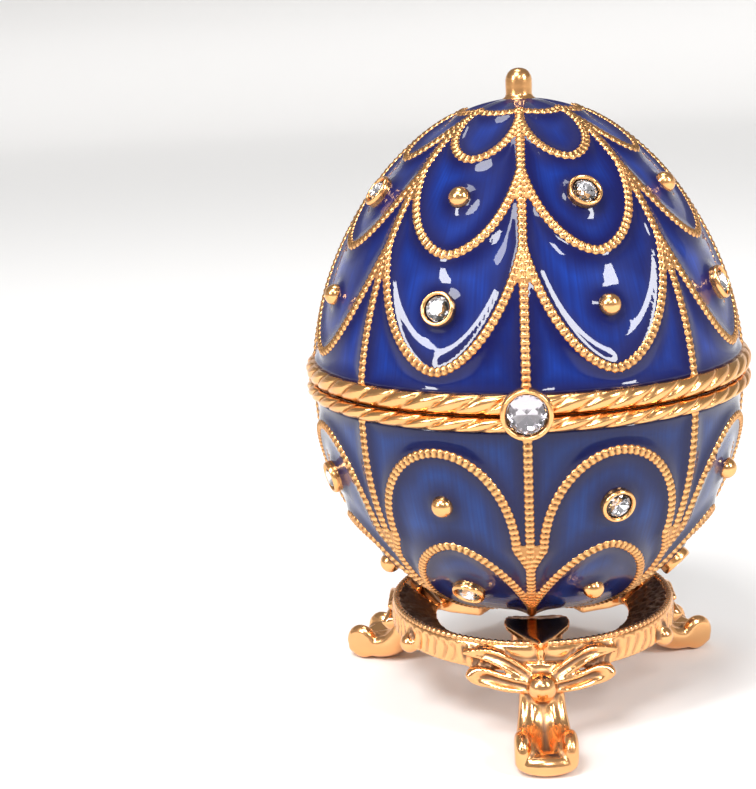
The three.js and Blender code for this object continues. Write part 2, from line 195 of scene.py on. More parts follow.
def egg_radius(height, inset=0.0):
    full, rounding, blunt = UPPER if height >= 0 else LOWER
    reach = min(abs(height) / (full - inset), 1)
    return (EGG_RADIUS - inset) * (1 - reach**rounding) ** (1 / blunt)


def egg_slope(height):
    rise = egg_radius(height + SLOPE_STEP) - egg_radius(height - SLOPE_STEP)
    return rise / (2 * SLOPE_STEP)


def on_egg(degrees, height, lift=0.0):
    """A point at an angle from the front and a height over the seam, lifted off the enamel."""
    slope = egg_slope(height)
    along = lift / math.hypot(1, slope)
    radius = egg_radius(height) + along
    angle = rad(degrees)
    return Vector((radius * math.sin(angle), -radius * math.cos(angle),
                   SEAM_Z + height - slope * along))


def outward(degrees, height):
    return (on_egg(degrees, height, 1) - on_egg(degrees, height)).normalized()


def seat(degrees, height, lift=0.0):
    """A matrix that stands a turned form on the egg, its axis along the surface's normal."""
    facing = outward(degrees, height).to_track_quat("Z", "Y").to_matrix().to_4x4()
    return Matrix.Translation(on_egg(degrees, height, lift)) @ facing


# %% Even spacing on the egg
def spread(lengths, spacing):
    """Evenly spaced places on a line with these running lengths, as (index, share onwards)."""
    count = max(2, round(lengths[-1] / spacing))
    places, index = [], 0
    for i in range(count + 1):
        goal = lengths[-1] * i / count
        while index < len(lengths) - 2 and lengths[index + 1] < goal:
            index += 1
        share = (goal - lengths[index]) / max(lengths[index + 1] - lengths[index], TINY)
        places.append((index, min(max(share, 0), 1)))
    return places


def arc_heights(start, end, spacing):
    """Heights from start to end, evenly spaced along the egg's curve."""
    fine = [start + (end - start) * math.sin(math.pi / 2 * i / ARC_STEPS)
            for i in range(ARC_STEPS + 1)]
    lengths = [0.0]
    for low, high in zip(fine, fine[1:]):
        step = math.hypot(egg_radius(high) - egg_radius(low), high - low)
        lengths.append(lengths[-1] + step)
    return [fine[i] + (fine[i + 1] - fine[i]) * share for i, share in spread(lengths, spacing)]


print("enamel is", 2 * EGG_RADIUS, "mm across at the seam")

# %% [markdown]
# ## The pattern of wires
# Eight ribs run from pole to pole. Between them hang the lid's scallops and stand the bowl's
# arches. Each curve is the same formula as in the solids: how far it climbs from the middle
# of its panel to the rib, so wires and enamel cells always agree.

# %% Curves
PANELS = 8
PANEL_DEG = 360 / PANELS
HALF_PANEL = PANEL_DEG / 2
TURNS = [PANEL_DEG * i for i in range(PANELS)]
WIRE_HALF = 0.5
WIRE_LIFT = 0.45
LINE_SPACING = 0.1
CURVE_STEPS = 300
FOOT_STEPS = 24
FOOT_STEP = 0.1
# Height in the middle of the panel, rise to its side, and a horseshoe's half width in degrees.
SCALLOPS = [(24.95, 0.2, None), (21.2, 2.7, None), (13.4, 5.6, None), (3.6, 8.4, None)]
ARCHES = [(-3.6, -9.3, 18.8), (-12.85, -6.3, None)]


def curve_height(curve, away):
    """Height of a wire's middle line, at an angle from the middle of its panel."""
    middle, rise, horseshoe = curve
    if horseshoe:
        across = min(abs(away) / horseshoe, 1)
        return middle + rise * (1 - math.sqrt(1 - across**2))
    across = min(abs(away) / HALF_PANEL, 1)
    return middle + rise * (across**1.7 + 0.25 * across**4)


def curve_line(curve):
    """Points (degrees from the front, height) along a wire of the first panel."""
    middle, rise, horseshoe = curve
    reach = horseshoe or HALF_PANEL
    aways = [reach * math.sin(math.pi / 2 * i / CURVE_STEPS)
             for i in range(-CURVE_STEPS, CURVE_STEPS + 1)]
    line = [(away + HALF_PANEL, curve_height(curve, away)) for away in aways]
    if horseshoe:
        left = [((HALF_PANEL - reach) * (1 - i / FOOT_STEPS) ** 1.2, middle + rise - FOOT_STEP * i)
                for i in range(FOOT_STEPS, 0, -1)]
        right = [(PANEL_DEG - degrees, height) for degrees, height in reversed(left)]
        line = left + line + right
    return even(line, LINE_SPACING)


print("panels:", PANELS, "of", PANEL_DEG, "degrees")


# %% Even points on a line
def even(line, spacing):
    """The same line with points evenly spaced over the egg."""
    points = [on_egg(*point) for point in line]
    lengths = [0.0]
    for first, second in zip(points, points[1:]):
        lengths.append(lengths[-1] + (second - first).length)
    result = []
    for index, share in spread(lengths, spacing):
        (a, b), (c, d) = line[index], line[index + 1]
        result.append((a + (c - a) * share, b + (d - b) * share))
    return result


LID_LINES = [curve_line(curve) for curve in SCALLOPS]
BOWL_LINES = [curve_line(curve) for curve in ARCHES]
print("a panel of the lid has", len(LID_LINES), "wires, one of the bowl", len(BOWL_LINES))

# %% [markdown]
# ## Enamel
# Molten enamel wets the gold, so it creeps up every wire and cup and lies lower in the
# middle of its cell. That meniscus gives the long bright lines beside the wires. The surface is
# spun as a fine grid and each vertex is then raised by how near the closest gold is. Only half a
# panel is measured, because the other fifteen halves are its copies and mirror images.

# %% Distances to the gold
LID_JEWELS = [18.1, 8.9]
BOWL_JEWELS = [-8.7, -18.25]
CUP_RADIUS = 1.6
STUD_RADIUS = 1.02
FAR = 99.0
STEEPEST = 6
NEAR_POLES = (-23.5, 25.5)
LINE_SKIP = 4


def flat_distance(degrees, height, other_degrees, other_height):
    """Distance over the enamel, close enough for places that lie near each other."""
    radius = egg_radius(height)
    lowest, highest = NEAR_POLES
    stretch = math.hypot(1, egg_slope(max(min(height, highest), lowest)))
    across = radius * rad(degrees - other_degrees)
    return math.hypot(across, (height - other_height) * min(stretch, STEEPEST))


@lru_cache(maxsize=None)
def wire_distances(degrees, height):
    """Distances to the nearest rib and to the nearest curved wire, from half a panel."""
    rib = egg_radius(height) * rad(degrees)
    lines = LID_LINES if height > 0 else BOWL_LINES
    curved = FAR
    for line in lines:
        for other_degrees, other_height in line[::LINE_SKIP]:
            if abs(other_height - height) > 6 and other_degrees > 30:
                continue
            curved = min(curved, flat_distance(degrees, height, other_degrees, other_height))
    return rib, curved


def panel_place(degrees):
    """Which panel an angle lies in, and the angle folded into half a panel."""
    panel = int(degrees // PANEL_DEG) % PANELS
    inside = degrees % PANEL_DEG
    return panel, min(inside, PANEL_DEG - inside)


def has_stone(panel, tier):
    return (panel + tier) % 2 == 0


def jewel_distance(panel, folded, height):
    """Distance to the edge of the nearest cup or stud in the same panel."""
    nearest = FAR
    for tier, jewel in enumerate(LID_JEWELS if height > 0 else BOWL_JEWELS):
        radius = CUP_RADIUS if has_stone(panel, tier) else STUD_RADIUS
        away = flat_distance(folded, height, HALF_PANEL, jewel)
        nearest = min(nearest, abs(away) - radius)
    return nearest


print("a stone in the lid's lower row of the first panel:", has_stone(0, 1))

# %% [markdown]
# ### The enamel shells
# The outside is raised point by point, the inside stays plain and coarse, because nobody sees it.
# How far each point lies from the gold is kept in the mesh as "depth" for the enamel's colour.

# %% Enamel shells
ENAMEL_COLUMNS = 352
ENAMEL_THICK = 0.5
ENAMEL_SINK = 0.12
INNER_SKIP = 8
CREEP = 0.32
CREEP_WIDTH = 1.5
JEWEL_CREEP = 0.24
JEWEL_WIDTH = 0.9


def meniscus(distance, height, width):
    """How high the enamel climbs at a distance from the gold."""
    return height * max(0.0, 1 - max(distance, 0) / width) ** 2


def smooth_step(low, high, value):
    """0 below low, 1 above high, and a smooth way between."""
    share = min(max((value - low) / (high - low), 0), 1)
    return share * share * (3 - 2 * share)


# %% Spin one shell and raise it
def enamel_shell(heights):
    """A closed thin shell whose outside creeps up the gold. Its "depth" is how far gold is."""
    side = 1 if heights[0] > 0 or heights[-1] > 0 else -1
    outer = [(egg_radius(height), SEAM_Z + height) for height in heights]
    outer[0] = (0, outer[0][1])
    coarse = heights[::-INNER_SKIP] + [heights[0]]
    inner = [(egg_radius(height, ENAMEL_THICK), SEAM_Z + height - side * ENAMEL_THICK * (i > 0))
             for i, height in enumerate(coarse)]
    inner[-1] = (0, inner[-1][1])
    form = spun(outer + inner, ENAMEL_COLUMNS)
    layer = form.verts.layers.float.new("depth")
    for vert in form.verts:
        radius = math.hypot(vert.co.x, vert.co.y)
        height = vert.co.z - SEAM_Z
        if radius < 0.2 or radius < egg_radius(height) - 0.2:
            continue
        degrees = math.degrees(math.atan2(vert.co.x, -vert.co.y)) % 360
        panel, folded = panel_place(round(degrees, 3))
        rib, curved = wire_distances(round(folded, 3), round(height, 3))
        wire = min(rib, curved) - WIRE_HALF
        jewel = jewel_distance(panel, folded, height)
        rim = abs(height) - EDGE[side]
        lift = meniscus(wire, CREEP, CREEP_WIDTH) + meniscus(jewel, JEWEL_CREEP, JEWEL_WIDTH)
        lift = max(lift, meniscus(rim, CREEP, CREEP_WIDTH))
        vert.co = on_egg(degrees, height, min(lift, CREEP) - ENAMEL_SINK)
        vert[layer] = min(wire, jewel, rim)
    return form


print("enamel creeps", CREEP, "mm up the gold")


# %% Both shells
LID_ROPE = 1.7
BOWL_ROPE = 1.3
EDGE = {1: RIM + LID_ROPE, -1: RIM + BOWL_ROPE}
ENAMEL_GRID = 0.36


def enamel_heights(full, side):
    """From the pole to just behind the rope."""
    heights = arc_heights(0, side * full, ENAMEL_GRID)[::-1]
    return [height for height in heights if abs(height) > EDGE[side] - 0.3]


lid_enamel_form = enamel_shell(enamel_heights(UPPER[0], 1))
bowl_enamel_form = enamel_shell(enamel_heights(LOWER[0], -1))
print("enamel grids:", len(lid_enamel_form.verts), "and", len(bowl_enamel_form.verts), "points")

# %% [markdown]
# ## Wires
# In the wax the wires are thin twisted cords, flattened where they were rolled on. After
# casting they show as a row of little links with a pit between each two, where shade is painted
# dark. A nine-sided
# section is swept along each line, and its crest and sides are pinched once for every link.

# %% Wires
LINK = 0.62
WIRE_STEP = LINK / 4
SECTION = [(-1, -0.1), (-0.92, 0.5), (-0.45, 0.93), (0, 1), (0.45, 0.93), (0.92, 0.5), (1, -0.1),
           (0.6, -0.6), (-0.6, -0.6)]
SIDE_PINCH = 0.26
CREST_PINCH = 0.75
LINK_SHAPE = [1.0, 0.45, 0.0, 0.45]
RIB_SPACING = 0.2


def wire(line, loop=False):
    """A row of links along a line of (degrees, height)."""
    points = [on_egg(*place) for place in line]
    count = len(points)
    rings, hollows = [], []
    for i, (degrees, height) in enumerate(line):
        ahead = points[(i + 1) % count if loop else min(i + 1, count - 1)]
        behind = points[i - 1 if loop or i > 0 else 0]
        up = outward(degrees, height)
        across = (ahead - behind).cross(up).normalized()
        pinch = LINK_SHAPE[i % len(LINK_SHAPE)]
        wide = WIRE_HALF * (1 - SIDE_PINCH * pinch)
        ring, marks = [], []
        for side, rise in SECTION:
            crest = 1 - CREST_PINCH * pinch * max(0, 1 - abs(side) / 0.6)
            ring.append(points[i] + across * side * wide + up * WIRE_LIFT * rise * crest)
            # painted shade: the pinched pits and the wire's underside take dark gilding
            marks.append(pinch if abs(side) < 0.2 else 0.8 * pinch if rise > 0.3 else 1.0)
        rings.append(ring)
        hollows.append(marks)
    return swept(rings, hollows, loop)


def rib(start, end):
    """A straight wire from one height to another, on the front of the egg."""
    line = [(0, height) for height in arc_heights(start, end, RIB_SPACING)]
    return wire(even(line, WIRE_STEP))


print("a link is", LINK, "mm long and", 2 * WIRE_HALF, "mm wide")


# %% [markdown]
# ### Webs
# Where a wire meets a rib the gap between them is too narrow for enamel, and the casting
# is left full. Each web is a small flat patch between the two, lower than the wires' crests,
# extruded down into the wall.

# %% Webs
WEB_ROWS = 8
WEB_WIDTH = 1.25
WEB_SEARCH = 0.1
WEB_SAG = 0.44
WEB_LIFT = 0.36
WEB_FALL = 0.06
WEB_SHADE = 0.55
WEB_ROOT = 0.7


def web(line, side):
    """The filled crotch between a rib and the wire that climbs (or falls) to it."""
    form = new_form()
    layer = form.verts.layers.float["hollow"]
    half_line = [place for place in line if place[0] <= HALF_PANEL]
    start = half_line[0][1]
    down = -1 if start > 0 else 1

    def gap(height):
        """Angle at which the wire passes a height, counted from the rib."""
        return min(half_line, key=lambda place: abs(place[1] - height))[0]

    end = start
    while egg_radius(end) * rad(gap(end)) < WEB_WIDTH and abs(end) > 0.5:
        end += WEB_SEARCH * down
    made = bmesh.ops.create_grid(form, x_segments=4, y_segments=WEB_ROWS, size=1)["verts"]
    for vert in made:
        share = (vert.co.x + 1) / 2
        row = (vert.co.y + 1) / 2
        sag = WEB_SAG * (1 - (2 * share - 1) ** 2) * row
        height = start + (end - start) * row - sag * down
        vert.co = on_egg(side * (gap(height) * share), height, WEB_LIFT - WEB_FALL * row)
        # painted shade: the low web between the wires is darkened
        vert[layer] = WEB_SHADE
    made = bmesh.ops.extrude_face_region(form, geom=form.faces[:])["geom"]
    for vert in [item for item in made if isinstance(item, bmesh.types.BMVert)]:
        away = Vector((vert.co.x, vert.co.y, vert.co.z - SEAM_Z)).normalized()
        vert.co -= away * WEB_ROOT
    return closed(form, 1e-5)


# %% [markdown]
# ## Rope mouldings
# A twisted rope runs round each rim. It is a turned moulding whose surface is raised and lowered
# along slanting strands, which is how the die for the wax was cut. Behind the hinge the
# moulding is cut away flat.

# %% Ropes
ROPE_RADIUS = 21.84
ROPE_BACK = 20.6
ROPE_BULGE = 0.45
ROPE_DEPTH = 0.58
ROPE_SLANT = 0.95
STRANDS = 50
STRAND_COLUMNS = 14
ROPE_ROWS = 12
HINGE_FLAT = 21.0
HINGE_HALF = 5.15


def rope(low, high):
    """A ring of slanting strands between two heights over the seam."""
    middle, half = (low + high) / 2, (high - low) / 2
    profile = [(ROPE_BACK, low)]
    for i in range(ROPE_ROWS + 1):
        profile.append((ROPE_RADIUS, low + (high - low) * i / ROPE_ROWS))
    profile.append((ROPE_BACK, high))
    lifted = [(radius, SEAM_Z + height) for radius, height in profile]
    form = spun(lifted, STRANDS * STRAND_COLUMNS)
    layer = form.verts.layers.float["hollow"]
    for vert in form.verts:
        radius = math.hypot(vert.co.x, vert.co.y)
        if radius < EGG_RADIUS:
            continue
        across = (vert.co.z - SEAM_Z - middle) / half
        angle = math.atan2(vert.co.x, -vert.co.y)
        strand = (angle / math.tau * STRANDS - ROPE_SLANT * across / 2) % 1
        crest = math.sqrt(max(0, 1 - abs(2 * strand - 1) ** 2.4))
        bulge = ROPE_BULGE * (1 - abs(across) ** 2.6)
        groove = ROPE_DEPTH * (1 - crest) * (1 - 0.3 * abs(across))
        wanted = ROPE_RADIUS - ROPE_BULGE + bulge - groove
        vert.co.x *= wanted / radius
        vert.co.y *= wanted / radius
        if abs(vert.co.x) < HINGE_HALF and vert.co.y > HINGE_FLAT:
            vert.co.y = HINGE_FLAT
        # painted shade in the grooves between the strands
        vert[layer] = smooth_step(0.35, 0.95, 1 - crest)
    return form


print("each rope has", STRANDS, "strands")

# %% [markdown]
# ## Jewel settings
# Each stone sits in a turned cup with a rounded lip, and every other place has a plain ball. The
# cup is a profile spun round its own axis and then stood on the egg along the surface's normal.

# %% Cups and studs
CUP_PROUD = 0.85
CUP_FLOOR = CUP_PROUD - 0.95
CUP_SIDES = 40
CUP_PROFILE = [(0, -0.7), (1.5, -0.7), (1.55, 0.0), (1.6, 0.45), (1.58, 0.68), (1.5, 0.81),
               (1.4, 0.85), (1.3, 0.8), (1.24, 0.68), (1.19, 0.5), (1.17, CUP_FLOOR),
               (0, CUP_FLOOR)]
STUD_SIDES = 32
STUD_MIDDLE = 0.14
STUD_HEIGHT = 1.0
STUD_FROM, STUD_SWEEP, STUD_STEPS = -35, 125, 8


def cup(degrees, height):
    return spun(CUP_PROFILE, CUP_SIDES, seat(degrees, height))


def stud(degrees, height):
    profile = [(0, -0.7), (0.85, -0.7), (0.85, -0.1)]
    for i in range(STUD_STEPS + 1):
        angle = rad(STUD_FROM + STUD_SWEEP * i / STUD_STEPS)
        radius = STUD_RADIUS * math.cos(angle) if i < STUD_STEPS else 0
        profile.append((radius, STUD_MIDDLE + STUD_HEIGHT * math.sin(angle)))
    return spun(profile, STUD_SIDES, seat(degrees, height))


def settings(heights):
    """A cup or a stud in every place of one half of the egg."""
    forms = []
    for panel in range(PANELS):
        for tier, height in enumerate(heights):
            make = cup if has_stone(panel, tier) else stud
            forms.append(make((panel + 0.5) * PANEL_DEG, height))
    return forms


# %% [markdown]
# ## Hinge, magnet cups, clasp and finial
# The hinge is three knuckles on a steel pin, one on the lid and two on the bowl, each with a
# leaf that ties it to its rim. Inside the front of each rim a cup holds a magnet. The
# clasp is a larger cup on the lid's rim, and a bullet-shaped knob tops the egg.

# %% Fittings
HINGE_LINE = Matrix.Translation((0, 22.54, SEAM_Z)) @ Matrix.Rotation(rad(90), 4, "Y")
KNUCKLE = 1.25
KNUCKLE_SOFT = 0.15
BORE = 0.8
LEAF_Y, LEAF_THICK, LEAF_SOFT = 20.99, 1.5, 0.08
FITTING_SIDES, MAGNET_SIDES, CLASP_SIDES = 40, 48, 56
MAGNET_Y = -16
CLASP_Z = 0.6
NECK_SIZE, NECK_PLACE, NECK_SOFT = (3, 2, 2), (0, -21.6, SEAM_Z + RIM + 1), 0.1
FACING_FRONT = Matrix.Rotation(rad(90), 4, "X")


def knuckle(start, end, side):
    """A bored barrel on the hinge's line and the leaf that ties it to its rim."""
    barrel = [(BORE, start), (KNUCKLE - KNUCKLE_SOFT, start), (KNUCKLE, start + KNUCKLE_SOFT),
              (KNUCKLE, end - KNUCKLE_SOFT), (KNUCKLE - KNUCKLE_SOFT, end), (BORE, end)]
    tall = KNUCKLE - RIM
    leaf_place = ((start + end) / 2, LEAF_Y, SEAM_Z + side * (RIM + tall / 2))
    return [spun(barrel, FITTING_SIDES, HINGE_LINE),
            soft_box_form((end - start, LEAF_THICK, tall), leaf_place, LEAF_SOFT)]


def magnet_place(side):
    """At the front inside a rim, upright for the lid and mirrored for the bowl."""
    return Matrix.Translation((0, MAGNET_Y, SEAM_Z)) @ Matrix.Diagonal((1, 1, side, 1))


def magnet_cup(side):
    profile = [(0, 3.2), (2.7, 3.2), (3.0, 2.9), (3.1, 2.5), (3.1, 0.32), (3.0, 0.2), (2.8, 0.2),
               (2.65, 0.32), (2.65, 1.85), (0, 1.85)]
    return closed(spun(profile, MAGNET_SIDES, magnet_place(side)))


print("magnets lie", -MAGNET_Y, "mm in front of the axis")


# %% Knob and clasp
def finial():
    profile = [(0, -0.8), (1.75, -0.8), (1.75, -0.05), (1.6, 0.12), (1.36, 0.28), (1.25, 0.55),
               (1.27, 1.2), (1.27, 1.85), (1.2, 2.2), (1.02, 2.55), (0.74, 2.82), (0.38, 2.96),
               (0, 3)]
    return spun(profile, FITTING_SIDES, Matrix.Translation((0, 0, SEAM_Z + UPPER[0])))


def clasp():
    profile = [(0, 22.3), (2.1, 22.3), (2.24, 22.45), (2.3, 22.75), (2.3, 23.3), (2.24, 23.55),
               (2.1, 23.68), (1.98, 23.7), (1.87, 23.62), (1.82, 23.45), (1.82, 22.55), (0, 22.55)]
    stand_off = Matrix.Translation((0, 0, SEAM_Z + CLASP_Z)) @ FACING_FRONT
    ring = spun(profile, CLASP_SIDES, stand_off)
    return [ring, soft_box_form(NECK_SIZE, NECK_PLACE, NECK_SOFT)]


print("the hinge turns at", [round(part, 2) for part in HINGE_LINE.translation])

# %% [markdown]
# ## The castings
# Behind the enamel each half is a plain bowl of gilt zinc, a closed profile spun once. All that
# was cast with it is joined in the same mesh: ribs, curved wires, webs, rope, settings, rim,
# knuckles and magnet cup.

# %% Lid and bowl castings
SKIN = 0.7
INNER = WALL - 0.2
WALL_SPACING = 1.0
WALL_TOP = 20.9
WALL_SIDES = 120
RIB_OVERLAP = 0.2
RIB_ENDS = {1: 25.3, -1: -24.0}


def profile_on_axis(profile):
    """The same profile with its first and last point moved onto the axis."""
    return [(0, profile[0][1]), *profile[1:-1], (0, profile[-1][1])]


def wall(side):
    """The casting's own wall: outside under the enamel, a flat rim, and the inside."""
    full = UPPER[0] if side > 0 else LOWER[0]
    outside = arc_heights(side * EDGE[side], side * (full - SKIN), WALL_SPACING)
    inside = arc_heights(side * RIM, side * (full - INNER), WALL_SPACING)[::-1]
    profile = [(egg_radius(height, INNER), SEAM_Z + height) for height in inside]
    profile += [(WALL_TOP, SEAM_Z + side * RIM), (WALL_TOP, SEAM_Z + side * EDGE[side])]
    profile += [(egg_radius(height, SKIN), SEAM_Z + height) for height in outside]
    return spun(profile_on_axis(profile), WALL_SIDES)


print("the castings' walls are", round(INNER - SKIN, 2), "mm thick under the enamel")


# %% Wirework
def wirework(lines, side):
    """All ribs, curved wires and webs of one half."""
    forms = [rib(side * (EDGE[side] - RIB_OVERLAP), RIB_ENDS[side])]
    forms += [wire(even(line, WIRE_STEP)) for line in lines]
    forms += [web(line, beside) for line in lines for beside in (1, -1)]
    return join(forms, TURNS)


def collar():
    """The lid's topmost scallops run into one another as one closed ring."""
    middle, rise, _ = SCALLOPS[0]
    line = [(degrees, middle + rise * (abs(degrees % PANEL_DEG - HALF_PANEL) / HALF_PANEL) ** 2)
            for degrees in range(0, 361)]
    return wire(even(line, WIRE_STEP)[:-1], loop=True)


# %% All that is cast with each half
lid_forms = [wirework(LID_LINES[1:], 1), collar(), wall(1), rope(RIM, EDGE[1]), finial(),
             magnet_cup(1)]
lid_forms += settings(LID_JEWELS) + clasp() + knuckle(-1.7, 1.7, 1)
bowl_forms = [wirework(BOWL_LINES, -1), wall(-1), rope(-EDGE[-1], -RIM), magnet_cup(-1)]
bowl_forms += settings(BOWL_JEWELS) + knuckle(2.0, 5.0, -1) + knuckle(-5.0, -2.0, -1)
print("forms to join:", len(lid_forms), "for the lid and", len(bowl_forms), "for the bowl")

# %% [markdown]
# ## Stones, linings, magnets and pin
# A stone is a brilliant: an octagonal table, two rows of crown facets, a round girdle and a
# pointed pavilion. Its corners are set out and a convex hull finds the facets. Real stones of
# this kind are foiled behind, so the pavilion's faces take a mirror finish and the crown stays
# clear glass. The linings are thin turned shells of cream enamel.

# %% Stones
# Facet corners: how many, radius as a share of the girdle's, height as a share, and turn.
FACET_ROWS = [(8, 0.56, 1.0, 0.5), (8, 0.8, 0.66, 0), (16, 1.0, 0.12, 0.5), (16, 1.0, 0, 0.5),
              (8, 0.52, -0.52, 0)]


def brilliant(radius, crown, pavilion, matrix):
    """A cut stone round its girdle's middle; faces under the girdle take the second material."""
    form = new_form()
    for count, share, rise, shift in FACET_ROWS:
        size = crown if rise > 0 else pavilion
        for i in range(count):
            angle = math.tau * (i + shift) / count
            form.verts.new((radius * share * math.cos(angle), radius * share * math.sin(angle),
                            rise * size))
    form.verts.new((0, 0, -pavilion))
    bmesh.ops.convex_hull(form, input=form.verts)
    bmesh.ops.dissolve_limit(form, angle_limit=rad(1), verts=form.verts, edges=form.edges)
    for face in form.faces:
        face.material_index = 1 if face.calc_center_median().z < -0.01 else 0
    bmesh.ops.recalc_face_normals(form, faces=form.faces)
    return placed(form, matrix)


# %% Linings, magnets and pin
LINING = 0.16
LINING_TOP = 0.7
LINING_LIFT = 0.04
LINING_SIDES, PIN_SIDES = 128, 32


def lining(side):
    """A thin shell of cream enamel inside one half."""
    full = UPPER[0] if side > 0 else LOWER[0]
    inside = arc_heights(side * LINING_TOP, side * (full - WALL), 0.8)
    profile = [(egg_radius(height, WALL), SEAM_Z + height) for height in inside[::-1]]
    profile += [(egg_radius(height, WALL - LINING), SEAM_Z + height + side * LINING_LIFT * (i > 0))
                for i, height in enumerate(inside)]
    profile[-1] = (0, SEAM_Z + side * (full - WALL + LINING))
    return spun(profile_on_axis(profile), LINING_SIDES)


def magnet(side):
    profile = [(0, 0.45), (2.3, 0.45), (2.45, 0.6), (2.45, 1.4), (2.3, 1.55), (0, 1.55)]
    return closed(spun(profile, MAGNET_SIDES, magnet_place(side)))


def pin():
    profile = [(0, -5.3), (0.35, -5.28), (0.5, -5.15), (0.5, 5.15), (0.35, 5.28), (0, 5.3)]
    return spun(profile, PIN_SIDES, HINGE_LINE)


print("the linings are", LINING, "mm thick")

# %% [markdown]
# ## Stand
# The stand is one casting: a seat ring on three scrolled legs, each with a flat-topped block
# under the egg and leaves that sweep round the ring. It is put together from overlapping
# forms and then remeshed into one skin, as wax parts melt together, and smoothed. The textures of
# the ring are pressed in afterwards, as a chaser would do.

# %% Parts of the stand
LEG_YAW = 2.9
LEGS = 3
BETWEEN = 6
LEG_SIDES = 40
VALLEY_WIDTH = 0.25
FLUTE_PLACE, FLUTE_WIDTH = 0.66, 0.15
# Along the leg: out, height, heading, half width, thickness, middle valley and side flutes.
LEG_STATIONS = [
    (13.5, 8.4, 90, 2.3, 1.5, 0.1, 0.1),
    (14.3, 5.8, 80, 2.15, 1.5, 0.15, 0.3),
    (15.0, 3.9, 60, 2.25, 1.5, 0.3, 0.3),
    (16.4, 2.2, 30, 2.55, 1.6, 0.6, 0.3),
    (18.2, 1.6, 0, 2.8, 1.6, 0.9, 0.3),
    (19.9, 1.6, -5, 2.75, 1.4, 1.3, 0.1),
    (21.0, 1.15, 15, 2.1, 1.0, 0.3, 0.0),
]


def along(stations, steps):
    """Stations in between, on smooth curves through the given ones."""
    result = []
    for i in range(len(stations) - 1):
        near = [stations[max(i - 1, 0)], stations[i], stations[i + 1],
                stations[min(i + 2, len(stations) - 1)]]
        for j in range(steps):
            t = j / steps
            blend = (-0.5 * t**3 + t**2 - 0.5 * t, 1.5 * t**3 - 2.5 * t**2 + 1,
                     -1.5 * t**3 + 2 * t**2 + 0.5 * t, 0.5 * t**3 - 0.5 * t**2)
            result.append([sum(w * part for w, part in zip(blend, parts))
                           for parts in zip(*near)])
    return result + [list(stations[-1])]


def dip(value, width):
    """A soft groove: 1 in its middle, gone a few widths away."""
    return math.exp(-(value / width) ** 2)


def leg():
    """A scrolled leg of squarish section, with a valley and two flutes down its front."""
    rings = []
    for out, z, heading, half, thick, valley, flute in along(LEG_STATIONS, BETWEEN):
        forward = (math.sin(rad(heading)), math.cos(rad(heading)))
        ring = []
        for i in range(LEG_SIDES):
            angle = math.tau * i / LEG_SIDES
            across, front = math.cos(angle), math.sin(angle)
            across = math.copysign(abs(across) ** 0.8, across)
            front = math.copysign(abs(front) ** 0.75, front)
            reach = front * thick
            if front > 0:
                reach -= (valley * dip(across, VALLEY_WIDTH)
                          + flute * dip(abs(across) - FLUTE_PLACE, FLUTE_WIDTH))
            ring.append((across * half, -out - forward[0] * reach, max(z + forward[1] * reach, 0)))
        rings.append(ring)
    return swept(rings)


print("a leg is swept through", len(along(LEG_STATIONS, BETWEEN)), "stations")


# %% Block
# Half of the block's outline from above, and its two slabs: size, bottom, top and softness.
BLOCK_SIDE = [(1.7, 12.9), (3.0, 10.4), (3.2, 9.2), (2.6, 5.4)]
BLOCK_SLABS = [(1, 9.75, 10.5, 0.2), (0.8, 7.2, 10.0, 0.1)]


def block():
    """The flat-topped block: a lip with a pointed front over a narrower body."""
    mirrored = [(-x, y) for x, y in reversed(BLOCK_SIDE)]
    forms = []
    for size, low, high, soft in BLOCK_SLABS:
        form = new_form()
        corners = [form.verts.new((x * size, -y * (1 + size) / 2, low))
                   for x, y in [(0, 15.2), *BLOCK_SIDE, *mirrored]]
        face = form.faces.new(corners)
        top = bmesh.ops.extrude_face_region(form, geom=[face])["geom"]
        lifted = [item for item in top if isinstance(item, bmesh.types.BMVert)]
        bmesh.ops.translate(form, vec=(0, 0, high - low), verts=lifted)
        forms.append(closed(softened(form, soft)))
    return forms


BALL_SIDES, BALL_ROWS = 40, 24


def ball(radius, x, out, z, flat=(1, 1, 1)):
    form = new_form()
    place = Matrix.Translation((x, -out, z)) @ Matrix.Diagonal((*flat, 1))
    bmesh.ops.create_uvsphere(form, u_segments=BALL_SIDES, v_segments=BALL_ROWS,
                              radius=radius)
    return placed(form, place)


print("the block's top lies at", BLOCK_SLABS[0][2], "mm")


# %% Keel and leaves
# Up the front of the block: height, half width and distance from the axis.
KEEL_STATIONS = [(6.6, 0.9, 14.9), (7.3, 0.62, 14.95), (8.2, 0.42, 14.9), (9.2, 0.4, 14.8),
                 (10.0, 0.5, 14.6)]
KEEL_SIDES = 12
KEEL_DEEP = 0.9


def keel():
    """The narrow upright between the knee ball and the block."""
    angles = [math.tau * i / KEEL_SIDES for i in range(KEEL_SIDES)]
    return swept([[(half * math.cos(angle), -out + KEEL_DEEP - KEEL_DEEP * math.sin(angle), z)
                   for angle in angles] for z, half, out in KEEL_STATIONS])


LEAF_SIDES = 24
BLADE_THICK = 0.6
BLADE_GROOVE, GROOVE_WIDTH = 1.5, 0.45
# Round the ring: degrees from the leg, distance from the axis, height, half width and groove.
LEAVES = [
    [(2, 15.4, 6.4, 0.45, 0.2), (7, 15.5, 6.35, 0.7, 0.6), (13, 15.3, 6.5, 0.9, 0.7),
     (19, 15.0, 6.7, 1.0, 0.65), (23.5, 14.9, 6.75, 0.95, 0.15), (26.5, 14.8, 6.75, 0.75, -0.2),
     (28, 14.6, 6.8, 0.3, 0)],
    [(2, 15.2, 7.0, 0.35, 0.2), (7, 15.25, 7.75, 0.7, 0.55), (13, 15.05, 8.5, 0.85, 0.6),
     (19, 14.7, 8.9, 0.75, 0.45), (25, 14.5, 8.9, 0.5, 0.2), (30, 14.4, 8.8, 0.25, 0.0)],
]


